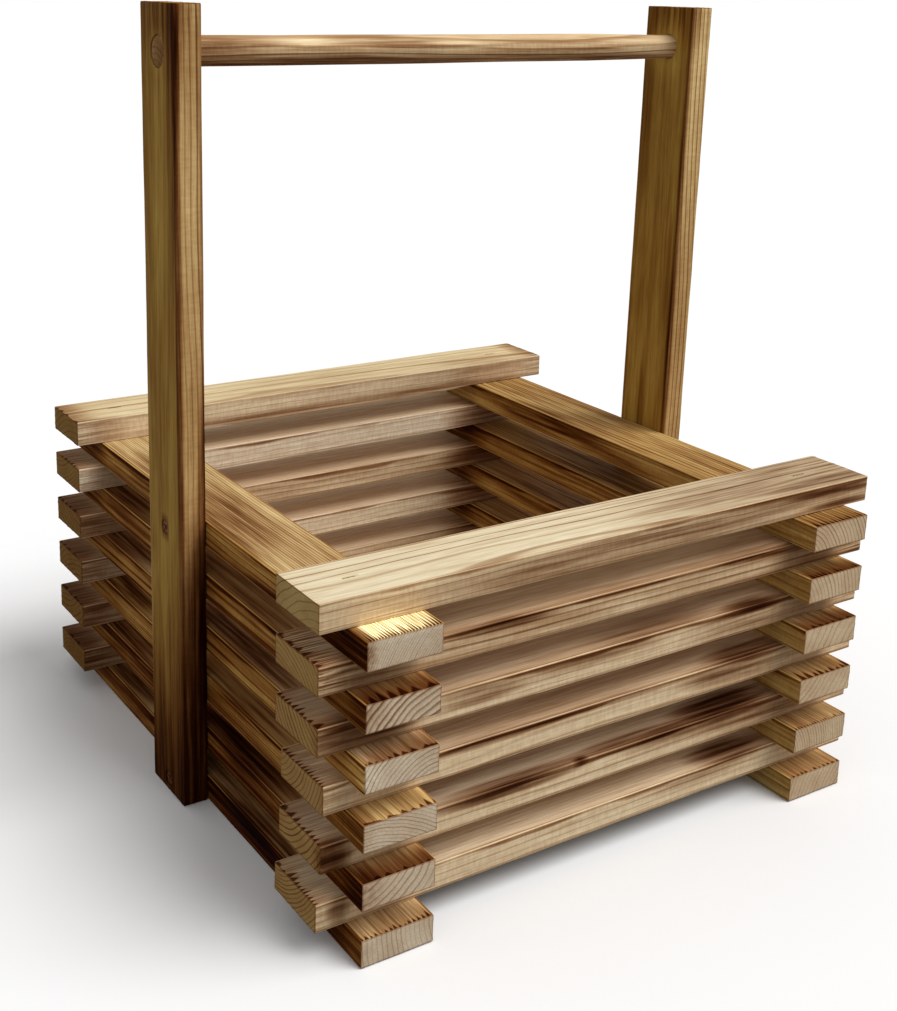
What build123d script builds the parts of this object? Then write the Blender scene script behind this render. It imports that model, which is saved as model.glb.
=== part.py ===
from build123d import *
import os

# Open log-cabin box of stacked pine battens with a fixed carrying handle.
# Millimetres. X runs along the front wall, Y from front to back, Z up.
# The origin is on the ground under the middle of the box.

# The batten that every wall, floor and handle piece is cut from
batten_width = 46
batten_thickness = 17
arris_bevel = 1.4
end_bevel = 0.6

# The box: front and back slats alternate with side slats, side slats lowest
slats_per_wall = 6
front_length = 400
side_length = 416
front_overhang = 18
side_overhang = 17
# How much shorter each front slat is cut at its left end, top slat first
front_end_shortfalls = (0, 0, 0, 3.5, 2.5, 0)

# Floor slats, on top of the lowest side slats and clamped by the next ones
floor_slats = 5
floor_gap = 10
floor_end_inset = 14

# The handle: two uprights on the outer faces of the side walls, and a dowel
upright_length = 488
dowel_drop = 27
dowel_left_diameter = 18
dowel_right_diameter = 16
dowel_taper_start_share = 0.6

# Staples, one at each crossing, with the crown along the upper slat
staple_crown = 10
staple_wire_width = 1.5
staple_wire_thickness = 1.2
staple_point = 2
staple_depth = 0.5
staple_bite_share = 0.75
# Distance of each corner's staples outward from the middle of the crossing
staple_offsets = {"front_left": 10, "front_right": 2, "back_left": 5, "back_right": 6}

# Countersunk screws, two in each upright, into the top and lowest side slats
screw_diameter = 4.5
screw_head_diameter = 8.8
screw_head_rim = 0.6
screw_point = 5
screw_depth = 0.8
screw_clearance = 0.3
screw_bite_share = 0.4
recess_length = 4.4
recess_width = 0.9
recess_depth = 1.8

# Sizes worked out from the ones above
layers = 2 * slats_per_wall
box_height = layers * batten_thickness
half_front = front_length / 2
half_side = side_length / 2
side_wall_outer = half_front - front_overhang
side_wall_inner = side_wall_outer - batten_width
front_wall_outer = half_side - side_overhang
front_wall_inner = front_wall_outer - batten_width
side_wall_middle = side_wall_outer - batten_width / 2
front_wall_middle = front_wall_outer - batten_width / 2
staple_leg = batten_thickness * (1 + staple_bite_share)
floor_length = 2 * (side_wall_outer - floor_end_inset)
floor_width = (2 * front_wall_inner - (floor_slats + 1) * floor_gap) / floor_slats
floor_staple_x = (side_wall_inner + floor_length / 2) / 2
dowel_height = upright_length - dowel_drop
upright_outer = side_wall_outer + batten_thickness
screw_length = batten_thickness + batten_width * screw_bite_share


def layer_top(layer):
    """Height of the upper face of a layer, counted from 1 at the rim down."""
    return box_height - (layer - 1) * batten_thickness


def batten(length, width=batten_width):
    """A batten along X, centred, with its arrises eased by brushing, less so at the ends."""
    body = Box(length, width, batten_thickness)
    body = chamfer(body.edges().filter_by(Axis.X), arris_bevel)
    ends = body.faces().filter_by(Axis.X)
    return chamfer(ends.edges(), end_bevel)


def staple():
    """A staple with its crown along X, the crown's upper face at Z = 0."""
    outline = Pos(0, -staple_leg / 2) * Rectangle(staple_crown, staple_leg)
    gap_width = staple_crown - 2 * staple_wire_thickness
    gap_height = staple_leg - staple_wire_thickness
    outline -= Pos(0, -staple_wire_thickness - gap_height / 2) * Rectangle(gap_width, gap_height)
    for side in (-1, 1):
        inner = (side * gap_width / 2, -staple_leg)
        outer = (side * staple_crown / 2, -staple_leg)
        chisel = (side * gap_width / 2, staple_point - staple_leg)
        outline -= make_face(Polyline(inner, outer, chisel, close=True))
    body = extrude(Plane.XZ * outline, amount=staple_wire_width / 2, both=True)
    return Pos(0, 0, -staple_depth) * body


def staple_slot():
    """What a staple takes out of the wood: its own shape and the slot above its crown."""
    slot = Box(staple_crown, staple_wire_width, staple_depth)
    return staple() + Pos(0, 0, -staple_depth / 2) * slot


def corner_places(corner):
    """Where a corner's staples go: one in each layer but the lowest, crown along the grain."""
    front_or_back, left_or_right = corner.split("_")
    x_side = -1 if left_or_right == "left" else 1
    y_side = -1 if front_or_back == "front" else 1
    x = x_side * (side_wall_middle + staple_offsets[corner])
    y = y_side * front_wall_middle
    places = []
    for layer in range(1, layers):
        turn = 0 if layer % 2 else 90
        places.append(Location((x, y, layer_top(layer)), (0, 0, turn)))
    return places


def floor_places():
    """Where the floor staples go: one at each end of each floor slat."""
    places = []
    for y in floor_rows():
        for side in (-1, 1):
            places.append(Location((side * floor_staple_x, y, layer_top(layers - 1))))
    return places


def floor_rows():
    """The Y of each floor slat's middle, with equal gaps between the walls."""
    pitch = floor_width + floor_gap
    first = -front_wall_inner + floor_gap + floor_width / 2
    return [first + row * pitch for row in range(floor_slats)]


def screw():
    """A countersunk screw along X, its head's face at X = 0 and its point toward +X."""
    head = screw_head_diameter / 2
    shank = screw_diameter / 2
    cone_end = screw_head_rim + head - shank
    profile = Polyline(
        (0, 0),
        (0, head),
        (screw_head_rim, head),
        (cone_end, shank),
        (screw_length - screw_point, shank),
        (screw_length, 0),
        close=True,
    )
    body = revolve(make_face(profile), Axis.X)
    for turn in (0, 90):
        bar = Rot(turn, 0, 0) * Box(recess_depth, recess_length, recess_width)
        body -= Pos(recess_depth / 2, 0, 0) * bar
    return body


def screw_hole():
    """The hole of a screw: countersink and clearance in the upright, tight in the slat."""
    head = (screw_head_diameter + screw_clearance) / 2
    clear = (screw_diameter + screw_clearance) / 2
    tight = screw_diameter / 2
    cone_start = screw_depth + screw_head_rim
    joint = batten_thickness
    end = screw_depth + screw_length
    profile = Polyline(
        (0, 0),
        (0, head),
        (cone_start, head),
        (cone_start + head - clear, clear),
        (joint, clear),
        (joint, tight),
        (end - screw_point, tight),
        (end, 0),
        close=True,
    )
    return revolve(make_face(profile), Axis.X)


def screw_places(side):
    """One upright's screws: into the middle of the top side slat, then of the lowest."""
    turn = 0 if side < 0 else 180
    heights = (layer_top(2) - batten_thickness / 2, batten_thickness / 2)
    return [Location((side * upright_outer, 0, z), (0, 0, turn)) for z in heights]


def front_slat(row):
    """One slat of the front wall, stacked from the rim down, with its left end cut to suit."""
    shortfall = front_end_shortfalls[row]
    length = front_length - shortfall
    return Pos(shortfall / 2, -front_wall_middle, 0) * batten(length)


def wall_slat(wall, row):
    """One slat of a wall in its place, before the fasteners' holes."""
    if wall == "front":
        body = front_slat(row)
    elif wall == "back":
        body = Pos(0, front_wall_middle, 0) * batten(front_length)
    else:
        side = -1 if wall == "left" else 1
        body = Pos(side * side_wall_middle, 0, 0) * Rot(0, 0, 90) * batten(side_length)
    return Pos(0, 0, slat_middle(wall, row)) * body


def slat_layer(wall, row):
    """The layer that a wall's slat lies in: odd for front and back, even for the sides."""
    return 2 * row + (1 if wall in ("front", "back") else 2)


def slat_middle(wall, row):
    """Height of the middle of a wall's slat."""
    return layer_top(slat_layer(wall, row)) - batten_thickness / 2


def staple_cuts(wall, row, slots):
    """The slots of a slat's own staples and the holes of the legs from the slat above."""
    layer = slat_layer(wall, row)
    cuts = []
    for corner, corner_slots in slots.items():
        if wall in corner:
            cuts += corner_slots[max(layer - 2, 0):layer]
    return cuts


def side_cuts(side, row):
    """What the upright's screws and the floor's staples take out of a side slat."""
    cuts = []
    if row == 0:
        cuts.append(screw_places(side)[0] * screw_hole())
    if row == slats_per_wall - 1:
        cuts.append(screw_places(side)[1] * screw_hole())
        own = [place for place in floor_places() if place.position.X * side > 0]
        cuts += [place * staple_slot() for place in own]
    return cuts


def drilled_slat(wall, row, slots):
    """A wall's slat in its place, with the holes of all its fasteners."""
    body = wall_slat(wall, row)
    cuts = staple_cuts(wall, row, slots)
    if wall in ("left", "right"):
        cuts += side_cuts(-1 if wall == "left" else 1, row)
    for cut in cuts:
        body -= cut
    return body


def floor_slat(row):
    """One floor slat on the lowest side slats, with its two staple slots."""
    z = layer_top(layers - 1) - batten_thickness / 2
    body = Pos(0, floor_rows()[row], z) * batten(floor_length, floor_width)
    for place in floor_places()[2 * row:2 * row + 2]:
        body -= place * staple_slot()
    return body


def upright(side):
    """A handle upright against the side wall's outer face, with dowel and screw holes."""
    middle = side * (side_wall_outer + batten_thickness / 2)
    body = Pos(middle, 0, upright_length / 2) * Rot(0, 90, 0) * batten(upright_length)
    bore = dowel_left_diameter if side < 0 else dowel_right_diameter
    hole = Rot(0, 90, 0) * Cylinder(bore / 2, batten_thickness)
    body -= Pos(middle, 0, dowel_height) * hole
    for place in screw_places(side):
        body -= place * screw_hole()
    return body


def handle_dowel():
    """The grip: a whittled dowel through both uprights, thinner toward the right."""
    left = dowel_left_diameter / 2
    right = dowel_right_diameter / 2
    taper_start = side_wall_outer * dowel_taper_start_share
    profile = Polyline(
        (-upright_outer, 0),
        (-upright_outer, left),
        (taper_start, left),
        (side_wall_outer, right),
        (upright_outer, right),
        (upright_outer, 0),
        close=True,
    )
    return Pos(0, 0, dowel_height) * revolve(make_face(profile), Axis.X)


def placed(shape, places):
    """Separate copies of one solid at each place, as one group."""
    return Compound(children=[place * shape for place in places])


def build_nodes():
    """Every piece by its node name."""
    nodes = {}
    slots = {}
    for corner in staple_offsets:
        places = corner_places(corner)
        slots[corner] = [place * staple_slot() for place in places]
        nodes["corner_staples_" + corner] = placed(staple(), places)
    for wall in ("front", "back", "left", "right"):
        for row in range(slats_per_wall):
            nodes[f"{wall}_slat_{row + 1}"] = drilled_slat(wall, row, slots)
    for row in range(floor_slats):
        nodes[f"floor_slat_{row + 1}"] = floor_slat(row)
    nodes["floor_staples"] = placed(staple(), floor_places())
    for name, side in (("left", -1), ("right", 1)):
        nodes[name + "_upright"] = upright(side)
        sunk = [place * Pos(screw_depth, 0, 0) for place in screw_places(side)]
        nodes[name + "_upright_screws"] = placed(screw(), sunk)
    nodes["handle_dowel"] = handle_dowel()
    return nodes


os.makedirs("parts", exist_ok=True)
for name, shape in build_nodes().items():
    export_step(shape, f"parts/{name}.step")
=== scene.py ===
"""Looks of the slatted pine box with a dowel handle, built round the packed model.

Metres, in the packed model's own frame: X runs along the front wall, Y from front to back, Z up.
Every batten has its own place in the log that it was sawn from, so that the growth rings meet
at its arrises, and its own scorching, which a wire brush took off the soft wood and the edges.
Some battens also carry dark marks of painted shade: in inner corners, in the gaps between slats and in screw
holes.
"""

import logging
import math
from dataclasses import dataclass, replace
from enum import Enum
from typing import Union

import bmesh
import bpy
import numpy as np
from mathutils import Euler, Matrix, Vector


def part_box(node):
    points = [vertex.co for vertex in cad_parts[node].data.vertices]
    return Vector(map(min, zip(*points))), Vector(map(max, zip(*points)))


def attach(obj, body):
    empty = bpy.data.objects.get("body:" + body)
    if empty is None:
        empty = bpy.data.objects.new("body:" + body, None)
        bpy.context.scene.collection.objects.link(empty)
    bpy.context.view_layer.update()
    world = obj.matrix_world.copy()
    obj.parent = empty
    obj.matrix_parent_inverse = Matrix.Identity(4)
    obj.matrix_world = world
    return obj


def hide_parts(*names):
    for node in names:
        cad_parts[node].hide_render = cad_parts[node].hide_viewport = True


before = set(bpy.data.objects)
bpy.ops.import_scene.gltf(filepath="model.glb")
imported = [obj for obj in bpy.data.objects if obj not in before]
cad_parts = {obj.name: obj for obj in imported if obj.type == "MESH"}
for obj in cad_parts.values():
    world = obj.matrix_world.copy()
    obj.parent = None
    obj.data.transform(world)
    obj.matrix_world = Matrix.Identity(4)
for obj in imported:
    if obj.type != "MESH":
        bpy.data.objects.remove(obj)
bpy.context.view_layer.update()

LOGGER = logging.getLogger("pine_box")
MM = 0.001
BODY = "root"
PICTURE_WIDTH = 897
PICTURE_HEIGHT = 1011
SENSOR = 36.0
# How far a log bends, how fast, and how far and how fast its rings waver
LOG_BEND = 0.014
LOG_BEND_RATE = 2.6
RING_WAVER = 0.9
RING_WAVER_RATE = (7.0, 60.0, 60.0)
RING_LAYERS = 1.0
ACROSS_LOG = (0.0, 1.0, 1.0)
# How far a mark reaches, for each of its half axes; most marks are torch marks, and some are painted shade
MARK_EDGE = 1.25
# Where in a ring the late wood is full, how it stops, and how much a year's luck takes from it
LATE_FULL = 0.9
LATE_STOP = (0.93, 1.0, 1.0, 0.0)
YEAR_LUCK = 0.65
SIDES = ("left", "right")
ROWS = range(1, 7)
FLOOR_ROWS = range(1, 6)
WHITE = (1.0, 1.0, 1.0, 1.0)
# Diameter of a screw's head, in millimetres
SCREW_HEAD = 8.8
# Shading turns at edges sharper than these, in degrees
WOOD_CREASE = 38.0
DOWEL_CREASE = 50.0
STEEL_CREASE = 30.0
Value = Union["Term", float, int, str, bool, tuple, list, Vector, bpy.types.ID]


def linear(red: int, green: int, blue: int) -> tuple[float, float, float, float]:
    """Turns a colour as a screen shows it, from 0 to 255, into the renderer's linear one."""
    shares = [c / 255 for c in (red, green, blue)]
    return (*[s / 12.92 if s <= 0.04045 else ((s + 0.055) / 1.055) ** 2.4 for s in shares], 1.0)


def middle_of(node: str) -> Vector:
    """The middle of a CAD node's box."""
    return sum(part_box(node), Vector()) / 2


class Term:
    """An output in a node tree. Arithmetic on it adds Math nodes, or Vector Math on vectors."""

    def __init__(self, nodes: "Nodes", socket: bpy.types.NodeSocket) -> None:
        """Wraps an output.

        Args:
            nodes: The tree that it is in.
            socket: The output.
        """
        self.nodes = nodes
        self.socket = socket
        self.is_vector = socket.type in ("VECTOR", "RGBA")

    def __getitem__(self, output: int | str) -> "Term":
        """Another output of the same node."""
        return Term(self.nodes, self.socket.node.outputs[output])

    def __add__(self, other: Value) -> "Term":
        """This plus another."""
        return self.nodes.math("ADD", self, other)

    def __sub__(self, other: Value) -> "Term":
        """This minus another."""
        return self.nodes.math("SUBTRACT", self, other)

    def __rsub__(self, other: Value) -> "Term":
        """Another minus this."""
        return self.nodes.math("SUBTRACT", other, self)

    def __mul__(self, other: Value) -> "Term":
        """This times another."""
        return self.nodes.math("MULTIPLY", self, other)

    def __truediv__(self, other: Value) -> "Term":
        """This over another."""
        return self.nodes.math("DIVIDE", self, other)

    def __neg__(self) -> "Term":
        """This times minus one."""
        return self * -1.0

    def step(self, low: Value, high: Value, start: Value = 0.0, end: Value = 1.0) -> "Term":
        """Adds a smooth rise: start while this is below low, and end from high on."""
        inputs = {"Value": self, "From Min": low, "From Max": high, "To Min": start, "To Max": end}
        return self.nodes.add("ShaderNodeMapRange", inputs, interpolation_type="SMOOTHSTEP")


class Nodes:
    """Short ways to add and link nodes, in a shader tree or in a geometry tree."""

    def __init__(self, tree: bpy.types.NodeTree) -> None:
        """Works on one tree."""
        self.tree = tree

    def put(self, socket: bpy.types.NodeSocket, value: Value) -> None:
        """Feeds an input.

        Args:
            socket: The input.
            value: A term or a list of terms to link to it, or the value that it keeps.
        """
        for each in value if isinstance(value, list) else [value]:
            if isinstance(each, Term):
                self.tree.links.new(each.socket, socket)
            else:
                socket.default_value = each

    def node(self, kind: str, inputs: dict | None = None, **settings: Value) -> bpy.types.Node:
        """Adds a node.

        Args:
            kind: The node's Blender type.
            inputs: What each input gets, by name or by index.
            **settings: The node's own properties.

        Returns:
            The new node.
        """
        node = self.tree.nodes.new(kind)
        for name, value in settings.items():
            setattr(node, name, value)
        for name, value in (inputs or {}).items():
            self.put(node.inputs[name], value)
        return node

    def add(self, kind: str, inputs: dict | None = None, out: int | str = 0, **settings: Value) -> Term:
        """Adds a node as node() does, and gives one of its outputs."""
        return Term(self, self.node(kind, inputs, **settings).outputs[out])

    def given(self) -> dict[str, Term]:
        """Adds the group's inputs, by name."""
        return {socket.name: Term(self, socket) for socket in self.node("NodeGroupInput").outputs}

    def math(self, operation: str, *values: Value) -> Term:
        """Adds a sum, on vectors if one of its operands is a vector.

        Args:
            operation: The Math or Vector Math node's operation.
            *values: Its operands.

        Returns:
            The result.
        """
        vector = any(isinstance(v, tuple) or isinstance(v, Term) and v.is_vector for v in values)
        if vector:
            values = [v if isinstance(v, (Term, tuple)) else (v, v, v) for v in values]
        kind = "ShaderNodeVectorMath" if vector else "ShaderNodeMath"
        return self.add(kind, dict(enumerate(values)), operation=operation)

    def length(self, value: Term) -> Term:
        """Adds the length of a vector."""
        return self.add("ShaderNodeVectorMath", {0: value}, "Value", operation="LENGTH")

    def split(self, value: Term) -> list[Term]:
        """Adds a vector's three parts."""
        first = self.add("ShaderNodeSeparateXYZ", {0: value})
        return [first[axis] for axis in range(3)]

    def join(self, x: Value, y: Value, z: Value) -> Term:
        """Adds a vector of three parts."""
        return self.add("ShaderNodeCombineXYZ", {0: x, 1: y, 2: z})

    def noise(self, place: Term, detail: float, scale: float = 1.0) -> Term:
        """Adds noise of about 0 to 1, with finer layers on top."""
        return self.add("ShaderNodeTexNoise", {"Vector": place, "Scale": scale, "Detail": detail})

    def luck(self, number: Term) -> Term:
        """Adds a random share for each whole number."""
        return self.add("ShaderNodeTexWhiteNoise", {"W": number}, noise_dimensions="1D")

    def mix(self, share: Term, first: Value, second: Value) -> Term:
        """Adds a mix of two colours, or of two numbers.

        Args:
            share: How much of the second.
            first: What it is at 0.
            second: What it is at 1.

        Returns:
            The mix.
        """
        colours = isinstance(first, tuple) or first.is_vector
        kind, inputs, out = ("RGBA", (0, 6, 7), 2) if colours else ("FLOAT", (0, 2, 3), 0)
        return self.add("ShaderNodeMix", dict(zip(inputs, (share, first, second))), out, data_type=kind)

    def seen(self) -> Term:
        """Adds what tells the rays that show a thing from those that only light it.

        Returns:
            1 for camera, glossy and transmission rays, and 0 for the rest.
        """
        path = self.add("ShaderNodeLightPath")
        direct = self.math("MAXIMUM", path["Is Camera Ray"], path["Is Glossy Ray"])
        return self.math("MAXIMUM", direct, path["Is Transmission Ray"])


def new_group(name: str, kind: str, inputs: dict[str, tuple], outputs: dict[str, tuple]) -> Nodes:
    """Starts a node group.

    Args:
        name: Its name.
        kind: Shader or Geometry.
        inputs: The names of its inputs by their kind, such as Float.
        outputs: The names of its outputs by their kind.

    Returns:
        Its tree.
    """
    tree = bpy.data.node_groups.new(name, kind + "NodeTree")
    for side, sockets in (("INPUT", inputs), ("OUTPUT", outputs)):
        for sort, names in sockets.items():
            for socket in names:
                tree.interface.new_socket(socket, in_out=side, socket_type="NodeSocket" + sort)
    return Nodes(tree)


def new_material(name: str) -> tuple[bpy.types.Material, Nodes]:
    """Starts an empty material.

    Args:
        name: Its name.

    Returns:
        The material and its tree.
    """
    material = bpy.data.materials.new(name)
    material.use_nodes = True
    material.node_tree.nodes.clear()
    return material, Nodes(material.node_tree)


class Lay(Enum):
    """Which way a batten lies, as the turn that takes its own axes to the model's.

    A batten's own axes are its length, its width and its thickness.
    """

    ALONG_FRONT = (0.0, 0.0, 0.0)
    ALONG_SIDE = (0.0, 0.0, math.pi / 2)
    UPRIGHT = (0.0, -math.pi / 2, 0.0)


@dataclass(frozen=True)
class Grain:
    """How a batten was sawn from the log. Millimetres.

    Attributes:
        across: Place of the pith from the batten's middle, along its width.
        through: Place of the pith from the batten's middle, along its thickness.
        pitch: Distance from one growth ring to the next.
        contrast: How much darker late wood is than early wood on the end grain.
        relief: How deep the brush cut the early wood.
        seed: Picks the batten's own noise.
        bow: How far the batten's underside sags between its ends.
        early: Share of a ring that is pale early wood.
    """

    across: float
    through: float
    pitch: float
    contrast: float = 1.0
    relief: float = 0.22
    seed: float = 0.0
    bow: float = 0.0
    early: float = 0.6

    def pith(self) -> tuple[float, float, float]:
        """The pith's place in the batten's own axes, in metres."""
        return (0.0, self.across * MM, self.through * MM)


@dataclass(frozen=True)
class CharAndShadeMark:
    """One oval mark on a batten: mostly a pass of the torch, and in some places painted shade. Millimetres.

    Attributes:
        at: The oval's middle in the batten's own axes.
        reach: Its half axes.
        heat: How much it darkens the wood, as char or, on a mark of painted shade, as shade; or how much
            less where it is below 0.
    """

    at: tuple[float, float, float]
    reach: tuple[float, float, float]
    heat: float


@dataclass(frozen=True)
class Pine:
    """Finish of a scorched and brushed pine batten.

    Attributes:
        wide: Bare colour of the wide faces.
        narrow: Bare colour of the narrow faces.
        end: Bare colour of the end grain.
        lines: How strongly the growth rings show on the wide faces.
        edge_lines: The same on the narrow faces.
        heat: Char of the wide faces.
        edge_heat: Char of the narrow faces.
        fleck: How streaky the char is.
        comb: Char of the fine brushed lines near the ends.
        toast: Char of the wide faces' last centimetre or two before the ends.
        end_heat: Char on the end grain.
        tooth: How far the burnt teeth reach in from the ends, in millimetres.
        rim: Char in the band under an arris of the narrow faces, and in the dark line along their lower
            arris, which is partly painted shade.
        brim: Char of the wide faces towards their arrises.
        smoke: How grey the marks are, the torch marks and the painted shade alike, from brown at 0 to sooty
            at 1.
        wear: How bright the brushed arrises are.
        rough: Roughness of the bare wood.
    """

    wide: tuple[int, int, int] = (238, 220, 180)
    narrow: tuple[int, int, int] = (232, 208, 172)
    end: tuple[int, int, int] = (226, 216, 186)
    lines: float = 0.5
    edge_lines: float = 0.5
    heat: float = 0.15
    edge_heat: float = 0.15
    fleck: float = 1.0
    comb: float = 0.3
    toast: float = 0.3
    end_heat: float = 0.12
    tooth: float = 9.0
    rim: float = 0.8
    brim: float = 0.0
    smoke: float = 0.2
    wear: float = 0.8
    rough: float = 0.55


@dataclass(frozen=True)
class Batten:
    """One batten: its node, the way it lies, its wood, and its scorching with some painted shade.

    Attributes:
        node: The CAD node that it stands for.
        lay: Which way it lies.
        grain: How it was sawn.
        pine: Its finish.
        flames: Torch marks on it, and marks of painted shade.
    """

    node: str
    lay: Lay
    grain: Grain
    pine: Pine
    flames: tuple[CharAndShadeMark, ...] = ()

    def turn(self) -> Matrix:
        """The turn from the batten's own axes to the model's."""
        return Euler(self.lay.value).to_matrix()

    def half(self) -> Vector:
        """Half the batten's length, width and thickness."""
        low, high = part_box(self.node)
        return Vector([abs(s) for s in self.turn().transposed() @ ((high - low) / 2)])

    def scorch(self, piece: bpy.types.Object) -> None:
        """Lays the torch marks and the marks of painted shade on a mesh's points, as the attribute that the
        shader reads.

        Args:
            piece: The finished mesh.
        """
        mesh = piece.data
        spots = np.zeros(len(mesh.vertices) * 3, np.float32)
        mesh.vertices.foreach_get("co", spots)
        own = (spots.reshape(-1, 3) - np.array(middle_of(self.node))) @ np.array(self.turn()) / MM
        heat = np.zeros(len(own))
        for oval in self.flames:
            away = np.linalg.norm((own - np.array(oval.at)) / np.array(oval.reach), axis=1)
            share = np.clip(MARK_EDGE - away, 0.0, 1.0)
            heat += oval.heat * share * share * (3 - 2 * share)
        layer = mesh.attributes.new("scorch", "FLOAT", "POINT")
        layer.data.foreach_set("value", heat.astype(np.float32))


def ring_count(nodes: Nodes, place: Term, pith: Term, pitch: Term, seed: Term) -> Term:
    """Counts the growth rings from the pith, for the shader and for the grooves alike.

    Args:
        nodes: The tree to build in.
        place: A point in the batten's own axes, in metres.
        pith: The pith's place in the same axes.
        pitch: Distance from ring to ring.
        seed: Picks the log.

    Returns:
        The count, whole at each ring's outer edge.
    """
    along, _, _ = nodes.split(place)
    seat = nodes.join(along * LOG_BEND_RATE, seed, seed)
    bend = (nodes.noise(seat, RING_LAYERS)["Color"] - 0.5) * ACROSS_LOG * LOG_BEND
    radius = nodes.length((place - (pith + bend)) * ACROSS_LOG)
    waver = nodes.noise(place * RING_WAVER_RATE + seed, RING_LAYERS) - 0.5
    return waver * RING_WAVER + radius / pitch


def late_wood(nodes: Nodes, count: Term, early: Term, seed: Term) -> Term:
    """Finds the dark late wood: it deepens through the ring and stops short at its edge.

    Args:
        nodes: The tree to build in.
        count: The ring count.
        early: Share of a ring that is pale.
        seed: Picks the log.

    Returns:
        Late wood from 0 to 1.
    """
    part = nodes.math("FRACT", count)
    luck = nodes.luck(nodes.math("FLOOR", count) + seed)
    strength = luck * YEAR_LUCK + (1.0 - YEAR_LUCK)
    return part.step(early, LATE_FULL) * part.step(*LATE_STOP) * strength


def bake(piece: bpy.types.Object) -> None:
    """Turns an object's modifiers into plain mesh and takes them off.

    Args:
        piece: The object to flatten.
    """
    bpy.context.view_layer.update()
    flat = bpy.data.meshes.new_from_object(piece.evaluated_get(bpy.context.evaluated_depsgraph_get()))
    piece.modifiers.clear()
    piece.data = flat
    flat.name = piece.name


def cut(piece: bpy.types.Object, cutters: list[bpy.types.Object]) -> None:
    """Takes shapes out of a piece and deletes them.

    Args:
        piece: What is cut.
        cutters: The shapes to take out.
    """
    for cutter in cutters:
        hole = piece.modifiers.new(cutter.name, "BOOLEAN")
        hole.operation = "DIFFERENCE"
        hole.solver = "EXACT"
        hole.object = cutter
    bake(piece)
    for cutter in cutters:
        bpy.data.objects.remove(cutter)


def face_outwards(piece: bpy.types.Object) -> None:
    """Turns all faces of a piece to face outwards.

    Args:
        piece: The piece.
    """
    shape = bmesh.new()
    shape.from_mesh(piece.data)
    bmesh.ops.recalc_face_normals(shape, faces=shape.faces)
    shape.to_mesh(piece.data)
    shape.free()


def finish(piece: bpy.types.Object, coat: bpy.types.Material, crease: float, slot: str, *nodes: str) -> None:
    """Gives a piece its material, its shading and its body, and hides the CAD nodes that it stands for.

    Args:
        piece: The finished mesh. Faces inside its holes get the material too.
        coat: Its material.
        crease: Shading turns at edges sharper than this, in degrees.
        slot: The name of a material slot; not used.
        *nodes: The CAD nodes that it stands for.
    """
    piece.data.materials.clear()
    piece.data.materials.append(coat)
    piece.data.shade_smooth()
    piece.data.set_sharp_from_angle(angle=math.radians(crease))
    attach(piece, BODY)
    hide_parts(*nodes)
    LOGGER.info("%s: %d faces", piece.name, len(piece.data.polygons))


def mesh_object(name: str, points: list | np.ndarray, faces: list[tuple[int, ...]]) -> bpy.types.Object:
    """Makes an object from points and faces.

    Args:
        name: Its name.
        points: One row a point.
        faces: The points of each face.

    Returns:
        The object, linked to the scene.
    """
    mesh = bpy.data.meshes.new(name)
    mesh.from_pydata(np.array(points, float).reshape(-1, 3).tolist(), [], faces)
    piece = bpy.data.objects.new(name, mesh)
    bpy.context.scene.collection.objects.link(piece)
    return piece


def tube_faces(rows: int, turns: int) -> list[tuple[int, ...]]:
    """Joins circles of points into a closed solid, its faces wound to face outwards.

    Args:
        rows: How many circles there are, from low X to high X.
        turns: Points in a circle, counted from +Y towards +Z.

    Returns:
        The points of each face.
    """
    last = (rows - 1) * turns
    beside = [(i, (i + 1) % turns) for i in range(turns)]
    faces = [(a + i, a + j, a + turns + j, a + turns + i) for a in range(0, last, turns) for i, j in beside]
    return [*faces, tuple(reversed(range(turns))), tuple(range(last, last + turns))]


def lathe(name: str, profile: list[tuple[float, float]], turns: int, matrix: Matrix) -> bpy.types.Object:
    """Turns a closed profile of places along X and radii into a solid.

    Args:
        name: Its name.
        profile: Place and radius, from one end of the axis to the other.
        turns: Points in a circle.
        matrix: Where it goes.

    Returns:
        The turned solid.
    """
    angles = np.linspace(0.0, 2 * math.pi, turns, endpoint=False)
    points = [(x, r * math.cos(a), r * math.sin(a)) for x, r in profile for a in angles]
    piece = mesh_object(name, points, tube_faces(len(profile), turns))
    piece.data.transform(matrix)
    piece.data.update()
    return piece


class Shape:
    """Geometry Nodes that make a mesh from named inputs, built once.

    Attributes:
        NAME: The tree's name.
        INPUTS: The names of its inputs by their kind, apart from the material.
    """

    NAME = ""
    INPUTS: dict[str, tuple] = {}

    def __init__(self) -> None:
        """Builds the tree, which ends by making the mesh real and giving it its material."""
        inputs = self.INPUTS | {"Material": ("Coat",)}
        self.nodes = new_group(self.NAME, "Geometry", inputs, {"Geometry": ("Mesh",)})
        self.given = self.nodes.given()
        real = self.nodes.add("GeometryNodeRealizeInstances", {0: self.mesh()})
        coat = {"Geometry": real, "Material": self.given["Coat"]}
        self.nodes.node("NodeGroupOutput", {"Mesh": self.nodes.add("GeometryNodeSetMaterial", coat)})

    def mesh(self) -> Term:
        """Adds the tree's own nodes."""
        raise NotImplementedError

    def apply(self, piece: bpy.types.Object, values: dict[str, Value]) -> None:
        """Runs the tree on an object and leaves plain mesh.

        Args:
            piece: The object.
            values: What each input gets, by name.
        """
        modifier = piece.modifiers.new(self.NAME, "NODES")
        modifier.node_group = self.nodes.tree
        for item in self.nodes.tree.interface.items_tree:
            if item.in_out == "INPUT" and item.name in values:
                modifier[item.identifier] = values[item.name]
        bake(piece)


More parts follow.
